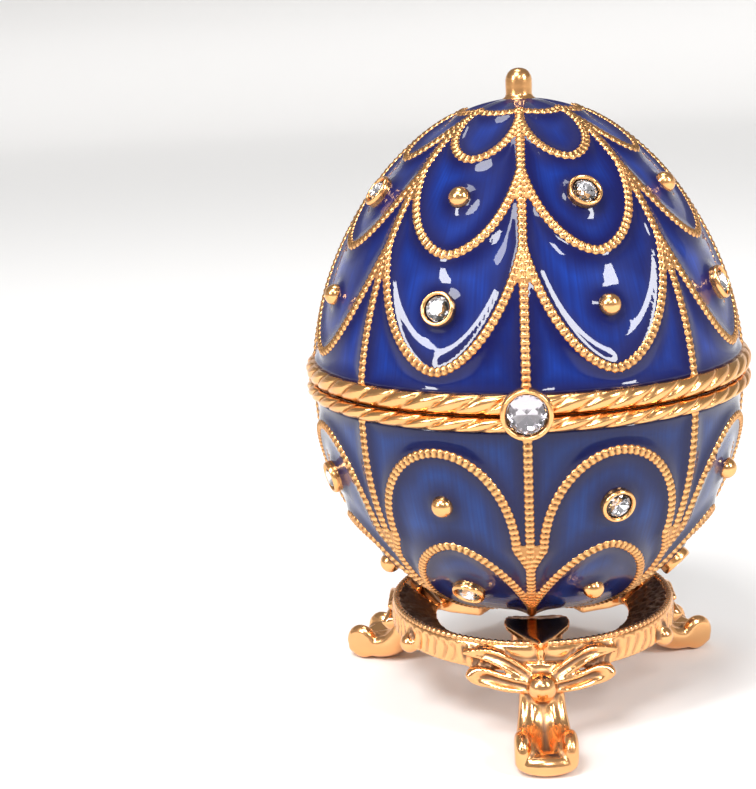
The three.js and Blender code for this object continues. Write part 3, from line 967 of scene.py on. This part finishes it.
def leaf(stations, side):
    """A hollowed blade from the knee round the outside of the ring."""
    rings = []
    for degrees, out, z, half, deep in along(stations, BETWEEN):
        angle = rad(degrees) * side
        ring = []
        for i in range(LEAF_SIDES):
            turned = math.tau * i / LEAF_SIDES
            up, front = math.sin(turned), math.cos(turned)
            groove = BLADE_GROOVE * deep * dip(up, GROOVE_WIDTH) if front > 0 else 0
            reach = out + BLADE_THICK * front - groove
            ring.append((reach * math.sin(angle), -reach * math.cos(angle), z + half * up))
        rings.append(ring)
    return swept(rings)


print("leaves beside each leg:", 2 * len(LEAVES))


# %% Foot and ring
TOE_PLACE, TOE_FLAT = (0, 20.85, 1.12), (2.85, 1.3, 1.1)
CHEEK_PLACE = (2.2, -19.75, 1.95)
CHEEK = [(0, -0.75), (1.3, -0.7), (1.75, -0.4), (1.9, 0), (1.75, 0.4), (1.3, 0.7), (0, 0.75)]
CHEEK_SIDES, RING_SIDES = 40, 180


def foot():
    """The scrolled foot: two rolled cheeks, a hollow shelf between them and a rounded toe."""
    forms = [ball(1, *TOE_PLACE, TOE_FLAT)]
    for side in (1, -1):
        x, y, z = CHEEK_PLACE
        lie = Matrix.Translation((side * x, y, z)) @ Matrix.Rotation(rad(90), 4, "Y")
        forms.append(spun(CHEEK, CHEEK_SIDES, lie))
    return forms


def seat_ring():
    profile = [(10.1, 7.2), (14.2, 7.2), (14.35, 7.6), (14.4, 9.4), (14.2, 9.9), (13.7, 10.0),
               (13.4, 9.85), (9.8, 8.0)]
    return spun(profile, RING_SIDES)


print("the stand has", LEGS, "legs, the first", LEG_YAW, "degrees off the front")

# %% [markdown]
# ### Melting the stand together
# The voxel remesh gives one closed skin of small even faces. Then the room for the egg is
# pressed into the blocks, the inside of the ring gets its coarse ground and the outside its
# shallow leaf strokes, both with painted shade, and how sunken each vertex lies adds painted
# shade.

# %% Remesh, press and chase
VOXEL = 0.178
SEAT_GAP = 0.72
SEAT_REACH = 21.5
TABLE_STEP = 0.25


def remeshed(form, voxel):
    """The form's skin, made anew in voxels, as wax parts melt into one."""
    placed(form, Matrix.Scale(MM, 4))
    data = bpy.data.meshes.new("wax")
    form.to_mesh(data)
    form.free()
    wax = bpy.data.objects.new("wax", data)
    bpy.context.scene.collection.objects.link(wax)
    skin = wax.modifiers.new("skin", "REMESH")
    skin.mode = "VOXEL"
    skin.voxel_size = voxel * MM
    graph = bpy.context.evaluated_depsgraph_get()
    result = new_form()
    result.from_mesh(wax.evaluated_get(graph).to_mesh())
    bpy.data.objects.remove(wax)
    bpy.data.meshes.remove(data)
    return placed(result, Matrix.Scale(1 / MM, 4))


def clear_height(radius):
    """The highest that the stand may reach under the egg, at a distance from the axis."""
    low, high = 0.0, LOWER[0] + SEAT_GAP
    for _ in range(24):
        middle = (low + high) / 2
        inside = egg_radius(-middle, -SEAT_GAP) > radius
        low, high = (middle, high) if inside else (low, middle)
    return SEAM_Z - low


print("under the seam the stand may reach", round(clear_height(0), 2), "mm")


# %% Chase
# The ground inside the ring, painted dark as shade, the band outside it, and the block and leg
# left plain.
GROUND_RADIUS, GROUND_LOW, GROUND_HIGH = 13.6, 7.3, 10.05
BLOCK_HALF, BLOCK_BACK = 3.3, 5
BAND_INNER, BAND_OUTER, BAND_LOW, BAND_HIGH = 14.0, 14.7, 7.4, 9.5
BAND_MIDDLE = 8.5
KNEE_DEG = 12
CELL_AROUND, CELL_UP = 0.9, 1.5
GROUND_LIFT, GROUND_SINK = 0.16, 0.1
STROKE_DEEP, VEIN_DEEP, BAND_SINK = 0.09, 0.05, 0.06


def stippled(vert, around, radius):
    """Lift a vertex by a random amount that is the same in all of a small cell."""
    cell = noise.cell(Vector((around * CELL_AROUND, (radius + vert.co.z) * CELL_UP, 0)))
    vert.co += vert.normal * (GROUND_LIFT * cell - GROUND_SINK)
    # painted shade: all of the coarse ground under the egg is darkened
    return 1


def engraved(vert, around):
    """Press a vertex into leaf strokes that bend away from the band's middle."""
    up = vert.co.z - BAND_MIDDLE
    wander = 2.5 * noise.noise(Vector((around * 0.12, vert.co.z * 0.7, 3)))
    wave = math.sin(around * 0.42 * math.pi + up**2 * 1.6 + wander)
    vein = math.sin(around * 1.1 * math.pi - up * 4 + wander)
    vert.co += vert.normal * (STROKE_DEEP * wave + VEIN_DEEP * vein - BAND_SINK)
    # painted shade in the troughs of the strokes
    return 0.5 * smooth_step(0.2, -1.0, wave)


def chased(form):
    """Press textures into the stand's skin, and clear the room for the egg."""
    layer = form.verts.layers.float["hollow"]
    clear = [clear_height(i * TABLE_STEP) for i in range(88)]
    form.normal_update()
    for vert in form.verts:
        x, y, z = vert.co
        radius = math.hypot(x, y)
        around = (math.degrees(math.atan2(x, -y)) - LEG_YAW + 60) % 120 - 60
        inside = radius < GROUND_RADIUS and GROUND_LOW < z < GROUND_HIGH and vert.normal.z > 0.3
        beside = abs(rad(around)) * radius > BLOCK_HALF or radius < BLOCK_BACK
        outside = BAND_INNER < radius < BAND_OUTER and BAND_LOW < z < BAND_HIGH
        if inside and beside:
            vert[layer] = stippled(vert, around, radius)
        elif outside and abs(around) > KNEE_DEG:
            vert[layer] = engraved(vert, around)
        if radius < SEAT_REACH:
            vert.co.z = min(vert.co.z, clear[round(radius / TABLE_STEP)])
    return form


print("strokes lie between", BAND_LOW, "and", BAND_HIGH, "mm")


# %% Mark what lies deep
SUNKEN_ROUNDS = 5
SHALLOW, SUNKEN = 0.001, 0.010


def paint_sunken_shade(form):
    """Raise the painted shade where a vertex lies deeper than its neighbours."""
    layer = form.verts.layers.float["hollow"]
    form.normal_update()
    depth = {}
    for vert in form.verts:
        near = [edge.other_vert(vert).co for edge in vert.link_edges]
        middle = sum(near, Vector()) / max(len(near), 1)
        depth[vert] = (middle - vert.co).dot(vert.normal)
    for _ in range(SUNKEN_ROUNDS):
        depth = {vert: (depth[vert] + sum(depth[edge.other_vert(vert)]
                                          for edge in vert.link_edges))
                 / (1 + len(vert.link_edges)) for vert in form.verts}
    for vert in form.verts:
        vert[layer] = max(vert[layer], smooth_step(SHALLOW, SUNKEN, depth[vert]))


print("sunken ground counts from", SHALLOW, "to", SUNKEN, "mm")


# %% Cord and stand
CORD_RADIUS, CORD_Z, CORD_SIZE = 13.95, 9.95, 0.34
CORD_STATIONS, CORD_SIDES = 560, 8
CORD_SHAPE = [1.0, 0.1, 0.1, 0.55]
CORD_PINCH = 0.35
CORD_SHADE = 0.8
FIRST_SMOOTHING, LAST_SMOOTHING = 0.5, 0.4


def ring_cord():
    """The small cord along the top edge of the ring."""
    rings, hollows = [], []
    for i in range(CORD_STATIONS):
        angle = math.tau * i / CORD_STATIONS
        pinch = CORD_SHAPE[i % len(CORD_SHAPE)]
        size = CORD_SIZE * (1 - CORD_PINCH * pinch)
        ring = []
        for j in range(CORD_SIDES):
            turned = math.tau * j / CORD_SIDES
            reach = CORD_RADIUS + size * math.cos(turned)
            ring.append((reach * math.sin(angle), -reach * math.cos(angle),
                         CORD_Z + size * math.sin(turned)))
        rings.append(ring)
        # painted shade in the pinches of the cord
        hollows.append([CORD_SHADE * pinch] * CORD_SIDES)
    return swept(rings, hollows, loop=True)


def relaxed(form, factor):
    """Draw each vertex towards the middle of its neighbours."""
    bmesh.ops.smooth_vert(form, verts=form.verts, factor=factor, use_axis_x=True,
                          use_axis_y=True, use_axis_z=True)


def stand():
    """The whole stand: parts joined, melted together, smoothed and chased."""
    forms = [leg(), keel(), ball(1.4, 0, 15.7, 6.3), *block(), *foot()]
    forms += [leaf(stations, side) for stations in LEAVES for side in (1, -1)]
    forms += [ball(0.75, 1.9 * side, 12.4, 8.9) for side in (1, -1)]
    forms += [ball(0.6, 1.75 * side, 13.3, 7.9) for side in (1, -1)]
    forms += [placed(ball(1.0, 0, 14.4, 7.7), turn(60))]
    legs = join(forms, [LEG_YAW + 360 / LEGS * i for i in range(LEGS)])
    skin = remeshed(join([legs, seat_ring()]), VOXEL)
    relaxed(skin, FIRST_SMOOTHING)
    chased(skin)
    relaxed(skin, LAST_SMOOTHING)
    paint_sunken_shade(skin)
    return join([skin, ring_cord()])


stand_form = stand()
print("stand:", len(stand_form.verts), "points")

# %% [markdown]
# ## Finishes
# Gilding, enamel, pearl, crystal and steel. What changes over a surface comes from nodes that put
# out only colours and values, for the gilding in one shared node group; everything that is the
# same all over is set on the shader's own sockets.

# %% Node helpers
def new_group(name, inputs, outputs):
    group = bpy.data.node_groups.new(name, "ShaderNodeTree")
    for socket, kind, value in inputs:
        made = group.interface.new_socket(socket, in_out="INPUT", socket_type=kind)
        if value is not None:
            made.default_value = value
    for socket, kind in outputs:
        group.interface.new_socket(socket, in_out="OUTPUT", socket_type=kind)
    return group


def add(nodes, kind, **values):
    node = nodes.new(kind)
    for key, value in values.items():
        setattr(node, key, value)
    return node


def feed(links, value, socket):
    """Link another node's socket, or set a plain value."""
    if isinstance(value, bpy.types.NodeSocket):
        links.new(value, socket)
    else:
        socket.default_value = value


def blended(nodes, links, first, second, factor):
    """Mix two colours (values or sockets) and give the resulting socket."""
    node = add(nodes, "ShaderNodeMix", data_type="RGBA")
    for index, value in ((0, factor), (6, first), (7, second)):
        feed(links, value, node.inputs[index])
    return node.outputs[2]


def computed(nodes, links, operation, *values):
    """A sum, a product or the like, of values or sockets."""
    node = add(nodes, "ShaderNodeMath", operation=operation)
    for socket, value in zip(node.inputs, values):
        feed(links, value, socket)
    return node.outputs[0]


def ranged(nodes, links, source, low, high, first=0.0, second=1.0):
    """What runs from low to high made to run from first to second, and no further."""
    node = add(nodes, "ShaderNodeMapRange")
    for socket, value in zip(node.inputs, (source, low, high, first, second)):
        feed(links, value, socket)
    return node.outputs[0]


def noisy(nodes, links, place, scale, detail, distortion=0.0):
    """A soft noise at the given coordinates, as its value's socket."""
    node = nodes.new("ShaderNodeTexNoise")
    node.inputs["Scale"].default_value = scale
    node.inputs["Detail"].default_value = detail
    node.inputs["Distortion"].default_value = distortion
    links.new(place, node.inputs["Vector"])
    return node.outputs["Fac"]


print("node helpers are ready")


# %% Material helpers
def new_material(name):
    material = bpy.data.materials.new(name)
    material.use_nodes = True
    nodes = material.node_tree.nodes
    return material, nodes, material.node_tree.links, nodes["Principled BSDF"]


def settle(shader, **values):
    """Set the shader's plain values, each by its socket's name with _ for a space."""
    for name, value in values.items():
        shader.inputs[name.replace("_", " ")].default_value = value


# %% [markdown]
# ### Gilding
# The plated gold is polished on crests and rough in the pits, which carry painted shade. Both
# castings share one node group, which reads how hollow each vertex lies and clouds the colour a
# little. A fine noise goes out as a height, so each material can choose how grainy it is.

# %% Gilding group
COPPERY = (0.85, 0.36, 0.14, 1)
CLOUD_SCALE, GRAIN_SCALE = 260, 2200
DARKEST_SHADE = 0.92
HOLLOW_ROUGH, CLOUD_ROUGH = 0.35, 0.1
GRAIN_HEIGHT = 0.00008


def gilding_group():
    """Warm gilding, polished on crests and rough in hollows, with painted shade darkening the
    hollows.
    """
    group = new_group("gilding", [("Bright", "NodeSocketColor", (0.9, 0.6, 0.3, 1)),
                                  ("Shade", "NodeSocketColor", (0.2, 0.07, 0.03, 1)),
                                  ("Rough", "NodeSocketFloat", 0.16)],
                      [("Color", "NodeSocketColor"), ("Roughness", "NodeSocketFloat"),
                       ("Height", "NodeSocketFloat")])
    nodes, links = group.nodes, group.links
    given = nodes.new("NodeGroupInput").outputs
    out = nodes.new("NodeGroupOutput").inputs
    place = nodes.new("ShaderNodeTexCoord").outputs["Object"]
    hollow = add(nodes, "ShaderNodeAttribute", attribute_name="hollow").outputs["Fac"]
    clouds = noisy(nodes, links, place, CLOUD_SCALE, 4)
    warm = blended(nodes, links, given["Bright"], COPPERY,
                   ranged(nodes, links, clouds, 0.4, 0.75, 0.0, 0.45))
    # painted shade: the more hollow a vertex lies, the nearer its gold comes to the dark colour
    links.new(blended(nodes, links, warm, given["Shade"],
                      ranged(nodes, links, hollow, 0.15, 1.0, 0.0, DARKEST_SHADE)), out["Color"])
    uneven = ranged(nodes, links, clouds, 0.35, 0.7, 0.0, CLOUD_ROUGH)
    extra = computed(nodes, links, "MULTIPLY_ADD", hollow, HOLLOW_ROUGH, uneven)
    links.new(computed(nodes, links, "ADD", given["Rough"], extra), out["Roughness"])
    links.new(noisy(nodes, links, place, GRAIN_SCALE, 3), out["Height"])
    return group


GILDING = gilding_group()
print("the gilding group has", len(GILDING.nodes), "nodes")


# %% Gilding on the egg and the stand
def gilt(name, bright, deep, rough, grain):
    material, nodes, links, shader = new_material(name)
    finish = add(nodes, "ShaderNodeGroup", node_tree=GILDING)
    for socket, value in (("Bright", bright), ("Shade", deep), ("Rough", rough)):
        finish.inputs[socket].default_value = value
    links.new(finish.outputs["Color"], shader.inputs["Base Color"])
    links.new(finish.outputs["Roughness"], shader.inputs["Roughness"])
    relief = nodes.new("ShaderNodeBump")
    relief.inputs["Strength"].default_value = grain
    relief.inputs["Distance"].default_value = GRAIN_HEIGHT
    links.new(finish.outputs["Height"], relief.inputs["Height"])
    links.new(relief.outputs["Normal"], shader.inputs["Normal"])
    settle(shader, Metallic=1)
    return material


# The second colour of each gilding is the painted shade in its hollows.
egg_gold = gilt("egg gilding", (0.92, 0.50, 0.20, 1), (0.09, 0.022, 0.006, 1), 0.17, 0.2)
stand_gold = gilt("stand gilding", (0.92, 0.49, 0.21, 1), (0.2, 0.12, 0.08, 1), 0.16, 0.15)
print("made", egg_gold.name, "and", stand_gold.name)

# %% [markdown]
# ### Blue enamel
# The enamel is a clear blue glass over brushed metal. Where it lies thick beside the gold it looks
# nearly black, and out in the open its ground shines through in streaks that run up the egg. A
# see-through shader would be slow here, so a dark and a light blue are mixed by the "depth"
# numbers under a glossy clear coat.

# %% Enamel
STREAKS = (70, 60, 1)
STREAK_SHARE = 0.5
POOL_SCALE = 190


def blue_enamel(name, deep, bright):
    """Translucent blue over brushed metal: light in the open, dark where it pools by the gold."""
    material, nodes, links, shader = new_material(name)
    depth = add(nodes, "ShaderNodeAttribute", attribute_name="depth").outputs["Fac"]
    place = nodes.new("ShaderNodeTexCoord").outputs["Object"]
    split = nodes.new("ShaderNodeSeparateXYZ")
    links.new(place, split.inputs[0])
    x, y, z = split.outputs
    around = computed(nodes, links, "ARCTAN2", x, computed(nodes, links, "MULTIPLY", y, -1))
    unrolled = nodes.new("ShaderNodeCombineXYZ")
    links.new(around, unrolled.inputs[0])
    links.new(z, unrolled.inputs[1])
    stretch = nodes.new("ShaderNodeMapping")
    stretch.inputs["Scale"].default_value = STREAKS
    links.new(unrolled.outputs[0], stretch.inputs[0])
    brushed = noisy(nodes, links, stretch.outputs[0], 1, 3)
    clouds = noisy(nodes, links, place, POOL_SCALE, 2)
    pool = ranged(nodes, links, depth, 0.25, 2.3)
    cloudy = ranged(nodes, links, clouds, 0.3, 0.68, 0.25, 1)
    streaks = ranged(nodes, links, brushed, 0.3, 0.75, 1 - STREAK_SHARE, 1)
    share = computed(nodes, links, "MULTIPLY", computed(nodes, links, "MULTIPLY", pool, cloudy),
                     streaks)
    links.new(blended(nodes, links, deep, bright, share), shader.inputs["Base Color"])
    settle(shader, Roughness=0.45, Specular_IOR_Level=0.1, Coat_Weight=1, Coat_Roughness=0.02,
           Coat_IOR=1.36)
    return material


lid_blue = blue_enamel("lid enamel", (0.001, 0.002, 0.06, 1), (0.002, 0.045, 0.36, 1))
# The bowl's blues are darker than the lid's: painted shade on the lower half of the egg.
bowl_shaded_blue = blue_enamel("bowl enamel, shaded", (0.002, 0.003, 0.045, 1), (0.002, 0.05, 0.26, 1))
print("made", lid_blue.name, "and", bowl_shaded_blue.name)

# %% [markdown]
# ### Pearl, crystal, foil and steel
# The cream lining has the swirls of stirred pearl enamel under a clear coat. The stones are plain
# clear glass in front, over a plain mirror for the foil behind. The magnets and the pin are
# brushed steel with a little uneven shine.

# %% Pearl, crystal, foil and steel
SWIRL = (0.35, 0.68)
SPECKS = (0.3, 0.7)


def pearl():
    """Cream enamel with swirls, under a clear coat."""
    material, nodes, links, shader = new_material("pearl lining")
    place = nodes.new("ShaderNodeTexCoord").outputs["Object"]
    swirl = noisy(nodes, links, place, 90, 3, distortion=2.2)
    share = ranged(nodes, links, swirl, *SWIRL)
    links.new(blended(nodes, links, (0.62, 0.53, 0.42, 1), (0.86, 0.82, 0.74, 1), share),
              shader.inputs["Base Color"])
    links.new(ranged(nodes, links, swirl, *SWIRL, 0.36, 0.22), shader.inputs["Roughness"])
    settle(shader, Metallic=0.25, Coat_Weight=0.8, Coat_Roughness=0.05)
    return material


def plain(name, color, rough, **values):
    """A finish that is the same all over."""
    material, _, _, shader = new_material(name)
    settle(shader, Base_Color=color, Roughness=rough, **values)
    return material


def brushed_steel(color, rough, uneven):
    """Steel whose shine varies in fine specks."""
    material, nodes, links, shader = new_material("steel")
    place = nodes.new("ShaderNodeTexCoord").outputs["Object"]
    specks = noisy(nodes, links, place, 900, 2)
    darker = (*(part * 0.8 for part in color[:3]), 1)
    links.new(ranged(nodes, links, specks, *SPECKS, rough, rough + uneven),
              shader.inputs["Roughness"])
    links.new(blended(nodes, links, color, darker, specks), shader.inputs["Base Color"])
    settle(shader, Metallic=1)
    return material


pearl_lining = pearl()
crystal = plain("crystal", (0.97, 0.97, 1, 1), 0.0, Transmission_Weight=1, IOR=1.58)
clasp_glass = plain("clasp crystal", (0.82, 0.78, 0.84, 1), 0.0, Transmission_Weight=1, IOR=1.58)
foil = plain("stone foil", (0.95, 0.94, 0.95, 1), 0.07, Metallic=1)
steel = brushed_steel((0.30, 0.36, 0.46, 1), 0.28, 0.15)
print("the egg, its stand and stones have", len(bpy.data.materials), "materials to use")

# %% [markdown]
# ## The pieces
# Now each form becomes an object that rides on its body. The castings stand for the solid
# shells; the enamel and the linings are coatings on them and ride with them.

# %% Make the pieces
make_piece(join(lid_forms), "lid_casting", [egg_gold], "lid", ["lid_shell"])
make_piece(lid_enamel_form, "lid_enamel", [lid_blue], "lid")
make_piece(lining(1), "lid_lining", [pearl_lining], "lid")
make_piece(join(bowl_forms), "bowl_casting", [egg_gold], "base", ["bowl_shell"])
make_piece(bowl_enamel_form, "bowl_enamel", [bowl_shaded_blue], "base")
make_piece(lining(-1), "bowl_lining", [pearl_lining], "base")
make_piece(stand_form, "cast_stand", [stand_gold], "base", ["stand"])
make_piece(magnet(1), "lid_magnet_disc", [steel], "lid", ["lid_magnet"])
make_piece(magnet(-1), "bowl_magnet_disc", [steel], "base", ["bowl_magnet"])
make_piece(pin(), "hinge_rod", [steel], "base", ["hinge_pin"])

# %% Set the stones
STONE_LIFT = 0.54
STONE_SIZE = (1.1, 0.38, 0.45)
CLASP_SIZE = (1.78, 0.47, 0.52)
for part, body, heights in (("lid", "lid", LID_JEWELS), ("bowl", "base", BOWL_JEWELS)):
    places = [seat((panel + 0.5) * PANEL_DEG, height, STONE_LIFT) for panel in range(PANELS)
              for tier, height in enumerate(heights) if has_stone(panel, tier)]
    for number, place in enumerate(places, 1):
        make_piece(brilliant(*STONE_SIZE, place), f"{part}_stone_{number}", [crystal, foil], body,
                   [f"{part}_crystal_{number}"], smooth=False)

low, high = (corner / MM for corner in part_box("clasp_crystal"))
clasp_girdle = Matrix.Translation((0, low.y + CLASP_SIZE[1], (low.z + high.z) / 2))
make_piece(brilliant(*CLASP_SIZE, clasp_girdle @ FACING_FRONT), "clasp_stone",
           [clasp_glass, foil], "lid", ["clasp_crystal"], smooth=False)

# %% [markdown]
# ## Stage, lights and camera
# A pale round studio: the floor curves up into a wall far away, so the box stands on the same
# ground from every side. Two tall windows, a front lamp and one overhead give the long highlights
# that polished metal and wet-looking enamel need, and a wide soft sun lights the floor evenly. The
# standard view keeps the blue as strong as it is in the materials.

# %% Studio
FLOOR_REACH = 1600
FLOOR_DROP = 0.02
COVE_FROM, COVE_HIGH, WALL_HIGH = 0.8, 140, 500
PAPER = (0.88, 0.87, 0.86, 1)


def studio():
    """Floor, cove and wall as one open sheet, spun round the box."""
    outline = [(0, -FLOOR_DROP), (FLOOR_REACH * COVE_FROM, -FLOOR_DROP)]
    for degrees in range(10, 91, 10):
        reach = COVE_FROM + (1 - COVE_FROM) * math.sin(rad(degrees))
        outline.append((FLOOR_REACH * reach, COVE_HIGH - COVE_HIGH * math.cos(rad(degrees))))
    outline.append((FLOOR_REACH, WALL_HIGH))
    form = new_form()
    verts = [form.verts.new((radius, 0, height)) for radius, height in outline]
    edges = [form.edges.new(pair) for pair in zip(verts, verts[1:])]
    bmesh.ops.spin(form, geom=verts + edges, axis=(0, 0, 1), cent=(0, 0, 0), angle=math.tau,
                   steps=96, use_merge=True)
    data = bpy.data.meshes.new("studio")
    placed(form, Matrix.Scale(MM, 4)).to_mesh(data)
    form.free()
    data.polygons.foreach_set("use_smooth", [True] * len(data.polygons))
    data.materials.append(plain("studio paper", PAPER, 0.9))
    paper = bpy.data.objects.new("studio", data)
    bpy.context.scene.collection.objects.link(paper)


studio()
print("the floor reaches", FLOOR_REACH, "mm from the box")


# %% Lights
def soft_box(name, place, size, power):
    """A rectangular lamp that faces the middle of the egg."""
    data = bpy.data.lights.new(name, "AREA")
    data.shape = "RECTANGLE"
    data.size, data.size_y = (length * MM for length in size)
    data.energy = power
    lamp = bpy.data.objects.new(name, data)
    lamp.location = Vector(place) * MM
    aim = Vector((0, 0, SEAM_Z)) * MM - lamp.location
    lamp.rotation_euler = aim.to_track_quat("-Z", "Y").to_euler()
    bpy.context.scene.collection.objects.link(lamp)


soft_box("overhead", (-40, 60, 480), (150, 150), 0.6)
soft_box("left window", (-330, -260, 260), (60, 200), 1.15)
soft_box("right window", (330, -220, 280), (60, 200), 1.15)
soft_box("front lamp", (60, -420, 330), (110, 50), 0.5)

SUN_WIDTH, SUN_STRENGTH, SUN_TURN = 22, 1.9, (34, 0, -28)
sun_data = bpy.data.lights.new("diffused sun", "SUN")
sun_data.angle = rad(SUN_WIDTH)
sun_data.energy = SUN_STRENGTH
sun = bpy.data.objects.new("diffused sun", sun_data)
sun.rotation_euler = [rad(degrees) for degrees in SUN_TURN]
bpy.context.scene.collection.objects.link(sun)

# %% Air and view
AIR_STRENGTH = 0.3
world = bpy.data.worlds.new("studio air")
world.use_nodes = True
world.node_tree.nodes["Background"].inputs["Color"].default_value = (1, 1, 1, 1)
world.node_tree.nodes["Background"].inputs["Strength"].default_value = AIR_STRENGTH
bpy.context.scene.world = world
bpy.context.scene.view_settings.view_transform = "Standard"
print("lamps:", ", ".join(light.name for light in bpy.data.lights))

# %% [markdown]
# ## Camera
# The camera stands a hand's breadth in front of the box and a little above it, tilted down, as one
# holds a lens to a small thing.

# %% Camera
CAMERA_PLACE = Vector((0, -147.88, 64.29))
PAN, TILT, ROLL = 5.759, -12.534, -2.683
LENS, SENSOR = 68.76, 36
camera_data = bpy.data.cameras.new("camera")
camera_data.lens = LENS
camera_data.sensor_width = SENSOR
camera_data.clip_start = 0.01
camera_data.clip_end = 10
camera = bpy.data.objects.new("camera", camera_data)
camera.matrix_world = (Matrix.Translation(CAMERA_PLACE * MM) @ turn(PAN)
                       @ Matrix.Rotation(rad(90 + TILT), 4, "X") @ turn(ROLL))
bpy.context.scene.collection.objects.link(camera)
bpy.context.scene.camera = camera
print("camera at", [round(part, 1) for part in CAMERA_PLACE], "mm")
